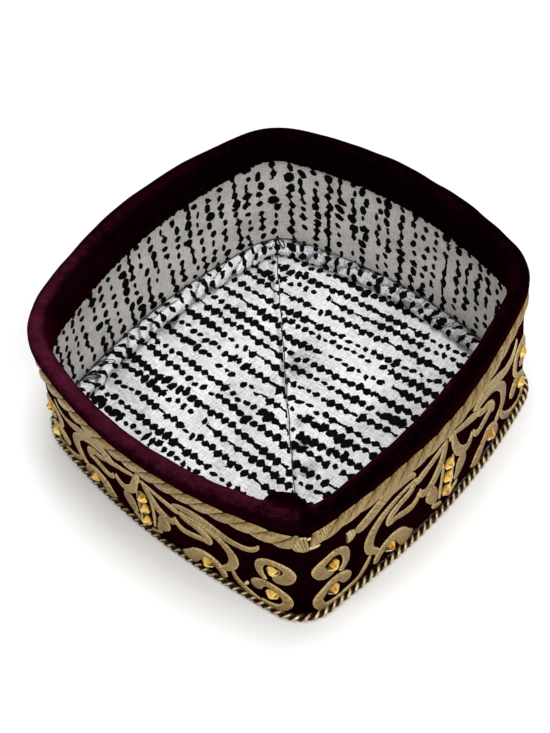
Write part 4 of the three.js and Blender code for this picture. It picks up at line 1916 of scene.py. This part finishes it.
@dataclass
class Lining:
    """The printed cotton inside: wall, crown and the gathered seam between them.

    The crown's edge and the diagonal's ends are a height and a depth, the pairs of puckers a middle
    and a spread, and those of whips and tangles the least and the most of a random draw. The rows of
    wrap_waves hold a size, waves to a side and a phase, and row_turns are degrees.
    """

    form: WallForm
    columns: int = 480
    cloth_tone: float = 0.5
    wall_depth: float = 3.35
    wall_back: float = 2.4
    wall_foot: float = 4.0
    wall_top: float = 61.5
    wall_rows: int = 40
    wall_back_rows: int = 5
    wall_ripple: Ripple = Ripple(71, 0.5, 16.0, 70.0)
    wall_light: float = 0.1
    wall_light_lap: float = 2.5
    wall_light_reach: float = 0.5
    crown_top: float = 3.4
    crown_least: float = 2.5
    crown_under: float = 2.35
    crown_rows: int = 60
    crown_edge: Pair = (4.0, 2.6)
    crown_ripple: Ripple = Ripple(73, 0.2, 20.0, 60.0)
    front_light: float = 0.1
    row_turns: Pair = (5.0, -2.5)
    half_shift: float = 90.0
    seam_depth: float = 0.55
    seam_width: float = 0.8
    ridge_height: float = 0.25
    ridge_off: float = 2.0
    ridge_width: float = 1.3
    pucker_pitch: float = 13.0
    pucker_depth: float = 0.75
    pucker_slant: float = 0.16
    pucker_along: Pair = (26.0, 24.0)
    pucker_beside: Pair = (5.0, 5.5)
    dents: tuple[Dent, ...] = (
        Dent(12, 4.5, 0.8, 4.0),
        Dent(25, 5.5, 0.9, 4.5),
        Dent(38, 6.0, 0.8, 4.0),
        Dent(-20, 4.0, 0.4, 5.0),
        Dent(-40, -4.0, 0.4, 5.0),
    )
    hollow_depth: float = 0.9
    hollow_light: float = 0.15
    hollow_shade: float = 0.38
    roll_depth: float = 7.9
    roll_height: float = 6.7
    roll_width: float = 4.0
    roll_rise: float = 3.0
    roll_least: float = 3.7
    roll_columns: int = 1440
    roll_rows: int = 28
    roll_lumps: Ripple = Ripple(79, 0.34, 7.0, 26.0)
    lump_girth: float = 9.0
    gathers: int = 34
    wrap_slant: float = 0.55
    wrap_waves: tuple[Station, ...] = ((0.35, 2.25, 0.0), (0.25, 3.75, 1.0))
    wrap_rise: float = 0.42
    wrap_level: float = 0.66
    crease_length: float = 0.10
    crease_drop: float = 0.14
    crease_shade: float = 0.6
    crease_width: float = 0.055
    shadow: float = 0.16
    shadow_width: float = 0.3
    roll_tone: float = 0.52
    roll_shade: float = 0.22
    shaded_lap: float = 1.5
    shaded_reach: float = 0.46
    shaded_fade: float = 0.08
    thread_seed: int = 83
    thread_radius: float = 0.23
    thread_sides: int = 6
    seam_stations: int = 900
    seam_wander: Ripple = Ripple(89, 0.25, 5.0, 16.0)
    seam_height: float = 9.0
    seam_inset: float = 4.3
    seam_sway: float = 0.3
    whips_per_side: int = 9
    whip_stations: int = 18
    whip_start: float = -0.25
    whip_ends: Pair = (1.2, 2.6)
    whip_shifts: Pair = (-0.3, 0.3)
    whip_leans: Pair = (-0.04, 0.03)
    whip_arches: Pair = (0.0, 0.06)
    whip_off: float = 1.06
    tangles: tuple[float, ...] = (1.985, 2.01, 2.03, 2.79, 2.87, 0.99)
    tangle_size: float = 2.3
    tangle_turns: float = 1.6
    tangle_stations: int = 70
    tangle_spread: float = 0.75
    tangle_rates: Pair = (0.8, 1.3)
    tangle_off: float = 1.12
    tangle_lift: float = 0.08
    tangle_waves: float = 1.7
    diagonal_corners: Pair = (2.0, 0.0)
    diagonal_ends: Pair = (4.0, 9.0)
    diagonal_stations: int = 260
    diagonal_sway: float = 0.22
    diagonal_waves: float = 61.0
    diagonal_aside: Pair = (0.7, 0.7)
    diagonal_lift: float = 0.12

    def wall(self) -> None:
        """The upright lining, slightly loose on the band."""
        laps = whole_turn(self.columns)
        inside = np.linspace(self.wall_top, self.wall_foot, self.wall_rows)[:, None]
        outside = np.linspace(self.wall_foot, self.wall_top, self.wall_back_rows)[:, None]
        slack = arch((inside - self.wall_foot) / (self.wall_top - self.wall_foot))
        loose = self.wall_ripple.over(laps, inside) * slack
        heights = np.vstack([inside, outside]) + 0 * laps
        back = np.full((self.wall_back_rows, self.columns), self.wall_back)
        patch = ring_patch(self.form, laps, heights, np.vstack([self.wall_depth + loose, back]))
        lit = bump(from_corner(laps, self.wall_light_lap), self.wall_light_reach)
        patch.tone = self.cloth_tone + self.wall_light * lit
        piece = register(build_mesh("cotton_wall", [patch], SHADED_WALL_PRINT), "lining_cotton", "side_lining")

    def crown_height(self, places: np.ndarray) -> np.ndarray:
        """Heights of the crown's lining, with its seam, its hollows and its looseness.

        Args:
            places: points whose first two numbers count.

        Returns:
            A height for each point.
        """
        flat = places[..., :2] - self.form.shift
        along = (flat[..., 0] - flat[..., 1]) / math.sqrt(2)
        beside = (flat[..., 0] + flat[..., 1]) / math.sqrt(2)
        height = self.crown_top + self.crown_ripple.over(along / SIDE_LENGTH, beside)
        height = height - self.seam_depth * bump(beside, self.seam_width)
        height = height + self.ridge_height * bump(np.abs(beside) - self.ridge_off, self.ridge_width)
        middle, spread = self.pucker_beside
        pucker = np.sin(FULL_TURN * along / self.pucker_pitch + self.pucker_slant * beside)
        pucker = pucker * bump(beside - middle, spread)
        middle, spread = self.pucker_along
        height = height + self.pucker_depth * pucker * bump(along - middle, spread)
        for dent in self.dents:
            hollow = dent.depth * bump(along - dent.along, dent.spread)
            height = height - hollow * bump(beside - dent.beside, dent.spread)
        return np.maximum(height, self.crown_least)

    def crown(self) -> None:
        """The lining of the crown, in two halves that meet in the diagonal seam."""
        underside = [0.0, HALF]
        shares = np.concatenate([underside, np.linspace(1.0, 0.0, self.crown_rows)])
        half_way = SIDES_ROUND / 2
        patches = []
        for half, turn in enumerate(self.row_turns):
            laps = np.linspace(half_way * half, half_way * half + half_way, self.columns // 2 + 1)
            edge = self.form.point(laps, *self.crown_edge)
            points = self.form.spokes(edge, shares)
            points[..., 2] = self.crown_height(points)
            hollow = (self.crown_top - points[..., 2]) / self.hollow_depth
            hollow = np.clip(hollow, -self.hollow_light, 1.0)
            points[: len(underside), :, 2] = self.crown_under
            angle = math.radians(turn)
            flat = points[..., :2]
            along = flat[..., 0] * math.cos(angle) + flat[..., 1] * math.sin(angle)
            across = flat[..., 1] * math.cos(angle) - flat[..., 0] * math.sin(angle)
            chart = np.stack([across + self.half_shift * half, along], axis=-1)
            front = np.clip((flat[..., 0] - flat[..., 1]) / SIDE_LENGTH, -1.0, 1.0)
            tone = self.cloth_tone + self.front_light * front - self.hollow_shade * hollow
            patches.append(Patch(points, chart, tone=tone))
        piece = register(build_mesh("cotton_crown", patches, CROWN_PRINT), "lining_cotton", "crown_lining")

    def wrap_share(self, laps: np.ndarray, turns: np.ndarray) -> np.ndarray:
        """How far along its own wrap each point of the seam roll is, from nothing to one."""
        waves = (size * np.sin(FULL_TURN * count * laps + phase) for size, count, phase in self.wrap_waves)
        return np.mod(self.gathers * laps / SIDES_ROUND + sum(waves) + self.wrap_slant * np.cos(turns), 1.0)

    def on_roll(self, turns: np.ndarray, off: np.ndarray) -> tuple[np.ndarray, np.ndarray]:
        """Heights and depths at angles round the seam roll, with an off of one on its plain surface."""
        heights = self.roll_height + self.roll_rise * off * np.sin(turns)
        return heights, self.roll_depth - self.roll_width * off * np.cos(turns)

    def roll(self) -> None:
        """The gathered roll where the two linings are sewn together, creased between its wraps."""
        laps = whole_turn(self.roll_columns)
        turns = -np.linspace(0, FULL_TURN, self.roll_rows, endpoint=False)[:, None]
        share = self.wrap_share(laps, turns)
        drop = share_of(1 - share, 0.0, self.crease_length)
        wrapped = self.wrap_rise * (np.sqrt(share) - self.wrap_level) * drop - self.crease_drop * (1 - drop)
        lumps = self.roll_lumps.over(laps, self.lump_girth * np.sin(turns)) / self.roll_width
        heights, depths = self.on_roll(turns, 1 + wrapped + lumps)
        patch = ring_patch(self.form, laps, np.maximum(heights, self.roll_least), depths)
        creased = self.crease_shade * bump(np.minimum(share, 1 - share), self.crease_width)
        creased = creased + self.shadow * bump(share, self.shadow_width)
        off = np.abs(from_corner(laps, self.shaded_lap))
        shaded = self.roll_shade * share_of(self.shaded_reach - off, 0.0, self.shaded_fade)
        patch.tone = self.roll_tone - creased - shaded
        piece = build_mesh("cotton_seam_roll", [patch], ROLL_PRINT)
        register(piece, "lining_cotton", "lining_seam_roll")

    def thread_on_roll(self, laps: np.ndarray, turns: np.ndarray, off: np.ndarray) -> Patch:
        """A thread that lies on the seam roll."""
        path = self.form.point(laps, *self.on_roll(turns, off))
        return tube_patch(path, self.thread_radius, self.thread_sides)

    def whip(self, place: float, chance: np.random.Generator) -> Patch:
        """A stitch whipped over the seam roll.

        Args:
            place: which of the even places round the cap it is near, counted in whips.
            chance: where its random leans come from.

        Returns:
            The stitch as a patch.
        """
        share = np.linspace(0, 1, self.whip_stations)
        start = (place + HALF + chance.uniform(*self.whip_shifts)) / self.whips_per_side
        turns = np.linspace(self.whip_start, chance.uniform(*self.whip_ends), self.whip_stations)
        laps = start + chance.uniform(*self.whip_leans) * share
        off = self.whip_off + chance.uniform(*self.whip_arches) * np.sin(share * math.pi)
        return self.thread_on_roll(laps, turns, off)

    def tangle(self, lap: float, chance: np.random.Generator) -> Patch:
        """A loose loop of thread on the seam roll.

        Args:
            lap: where round the cap it lies.
            chance: where its random turns come from.

        Returns:
            The loop as a patch.
        """
        turn = np.linspace(0, FULL_TURN * self.tangle_turns, self.tangle_stations)
        laps = lap + self.tangle_size / SIDE_LENGTH * np.sin(turn + chance.uniform(0, FULL_TURN))
        swing = np.cos(turn * chance.uniform(*self.tangle_rates) + chance.uniform(0, FULL_TURN))
        off = self.tangle_off + self.tangle_lift * np.sin(turn * self.tangle_waves)
        return self.thread_on_roll(laps, math.pi / 2 + self.tangle_spread * swing, off)

    def threads(self) -> None:
        """The black threads that sew the seams of the lining."""
        chance = np.random.default_rng(self.thread_seed)
        laps = whole_turn(self.seam_stations)
        wander = self.seam_wander.over(laps, 0.0)
        path = self.form.point(laps, self.seam_height + wander, self.seam_inset + self.seam_sway * wander)
        patches = [tube_patch(path, self.thread_radius, self.thread_sides, True)]
        patches += [self.whip(place, chance) for place in range(SIDES_ROUND * self.whips_per_side)]
        patches += [self.tangle(lap, chance) for lap in self.tangles]
        register(build_mesh("seam_threads", patches, THREAD), "lining_cotton")

    def diagonal_thread(self) -> None:
        """The row of black stitches along the crown's diagonal seam."""
        first, last = self.form.point(self.diagonal_corners, *self.diagonal_ends)
        share = np.linspace(0, 1, self.diagonal_stations)[:, None]
        path = first + (last - first) * share
        sway = self.diagonal_sway * np.sin(share * self.diagonal_waves)
        path[:, :2] += sway * np.array(self.diagonal_aside)
        path[:, 2] = self.crown_height(path) + self.diagonal_lift
        patch = tube_patch(path, self.thread_radius, self.thread_sides)
        register(build_mesh("diagonal_thread", [patch], THREAD), "lining_cotton")

    def build(self) -> None:
        """Builds and dresses the lining."""
        self.wall()
        self.crown()
        self.roll()
        self.threads()
        self.diagonal_thread()


@dataclass
class Studs:
    """The faceted amber studs: low pointed stones, each on the place of its CAD node.

    The rows of rings hold a radius, a height over the wall and a turn in facets.
    """

    form: WallForm
    prefix: str = "stone_"
    finish: Finish = Amber()
    facets: int = 8
    seat: float = 0.1
    rings: tuple[Station, ...] = ((2.6, 0.0, 0.0), (2.85, 0.85, 0.0), (1.0, 2.45, 0.5))
    search: int = 4000
    probe: float = 1.0

    def points(self, node: str) -> np.ndarray:
        """The points of one stud, square to the wall.

        Args:
            node: the CAD node that it stands for.

        Returns:
            Points in millimetres.
        """
        low, high = (np.array(corner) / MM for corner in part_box(node))
        middle = (low + high) / 2
        laps = whole_turn(self.search)
        nearest = np.argmin(np.linalg.norm(self.form.point(laps, middle[2]) - middle, axis=1))
        lap = laps[nearest]
        above = self.form.point(lap, middle[2] + self.probe)
        upward = unit(above - self.form.point(lap, middle[2] - self.probe))
        along = unit(np.cross(upward, self.form.outward(lap, middle[2])))
        outward = np.cross(along, upward)
        base = self.form.point(lap, middle[2]) + self.seat * outward
        found = []
        for radius, height, turn in self.rings:
            angles = (np.arange(self.facets) + turn) / self.facets * FULL_TURN
            spokes = np.cos(angles)[:, None] * along + np.sin(angles)[:, None] * upward
            found.append(base + radius * spokes + height * outward)
        return np.vstack(found)

    def stud(self, node: str) -> None:
        """Builds and dresses one stud.

        Args:
            node: the CAD node that it stands for.
        """
        name = node.replace(self.prefix, "amber_", 1)
        solid = bmesh.new()
        for point in self.points(node):
            solid.verts.new(Vector(point) * MM)
        bmesh.ops.convex_hull(solid, input=solid.verts)
        bmesh.ops.recalc_face_normals(solid, faces=solid.faces)
        mesh = bpy.data.meshes.new(name)
        solid.to_mesh(mesh)
        solid.free()
        register(add_piece(name, mesh, self.finish), "amber_stone", node)

    def build(self) -> None:
        """Builds every stud."""
        for node in [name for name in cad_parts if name.startswith(self.prefix)]:
            self.stud(node)


def main() -> None:
    """Builds the cap in order."""
    logging.basicConfig(level=logging.INFO, format="%(name)s: %(message)s")
    form = WallForm()
    parts = (Studio(form), VelvetBody(form), GoldWork(form), CrownCord(form), Lining(form), Studs(form))
    for part in parts:
        part.build()
        LOG.info("%s is built", type(part).__name__)


if __name__ == "__main__":
    main()
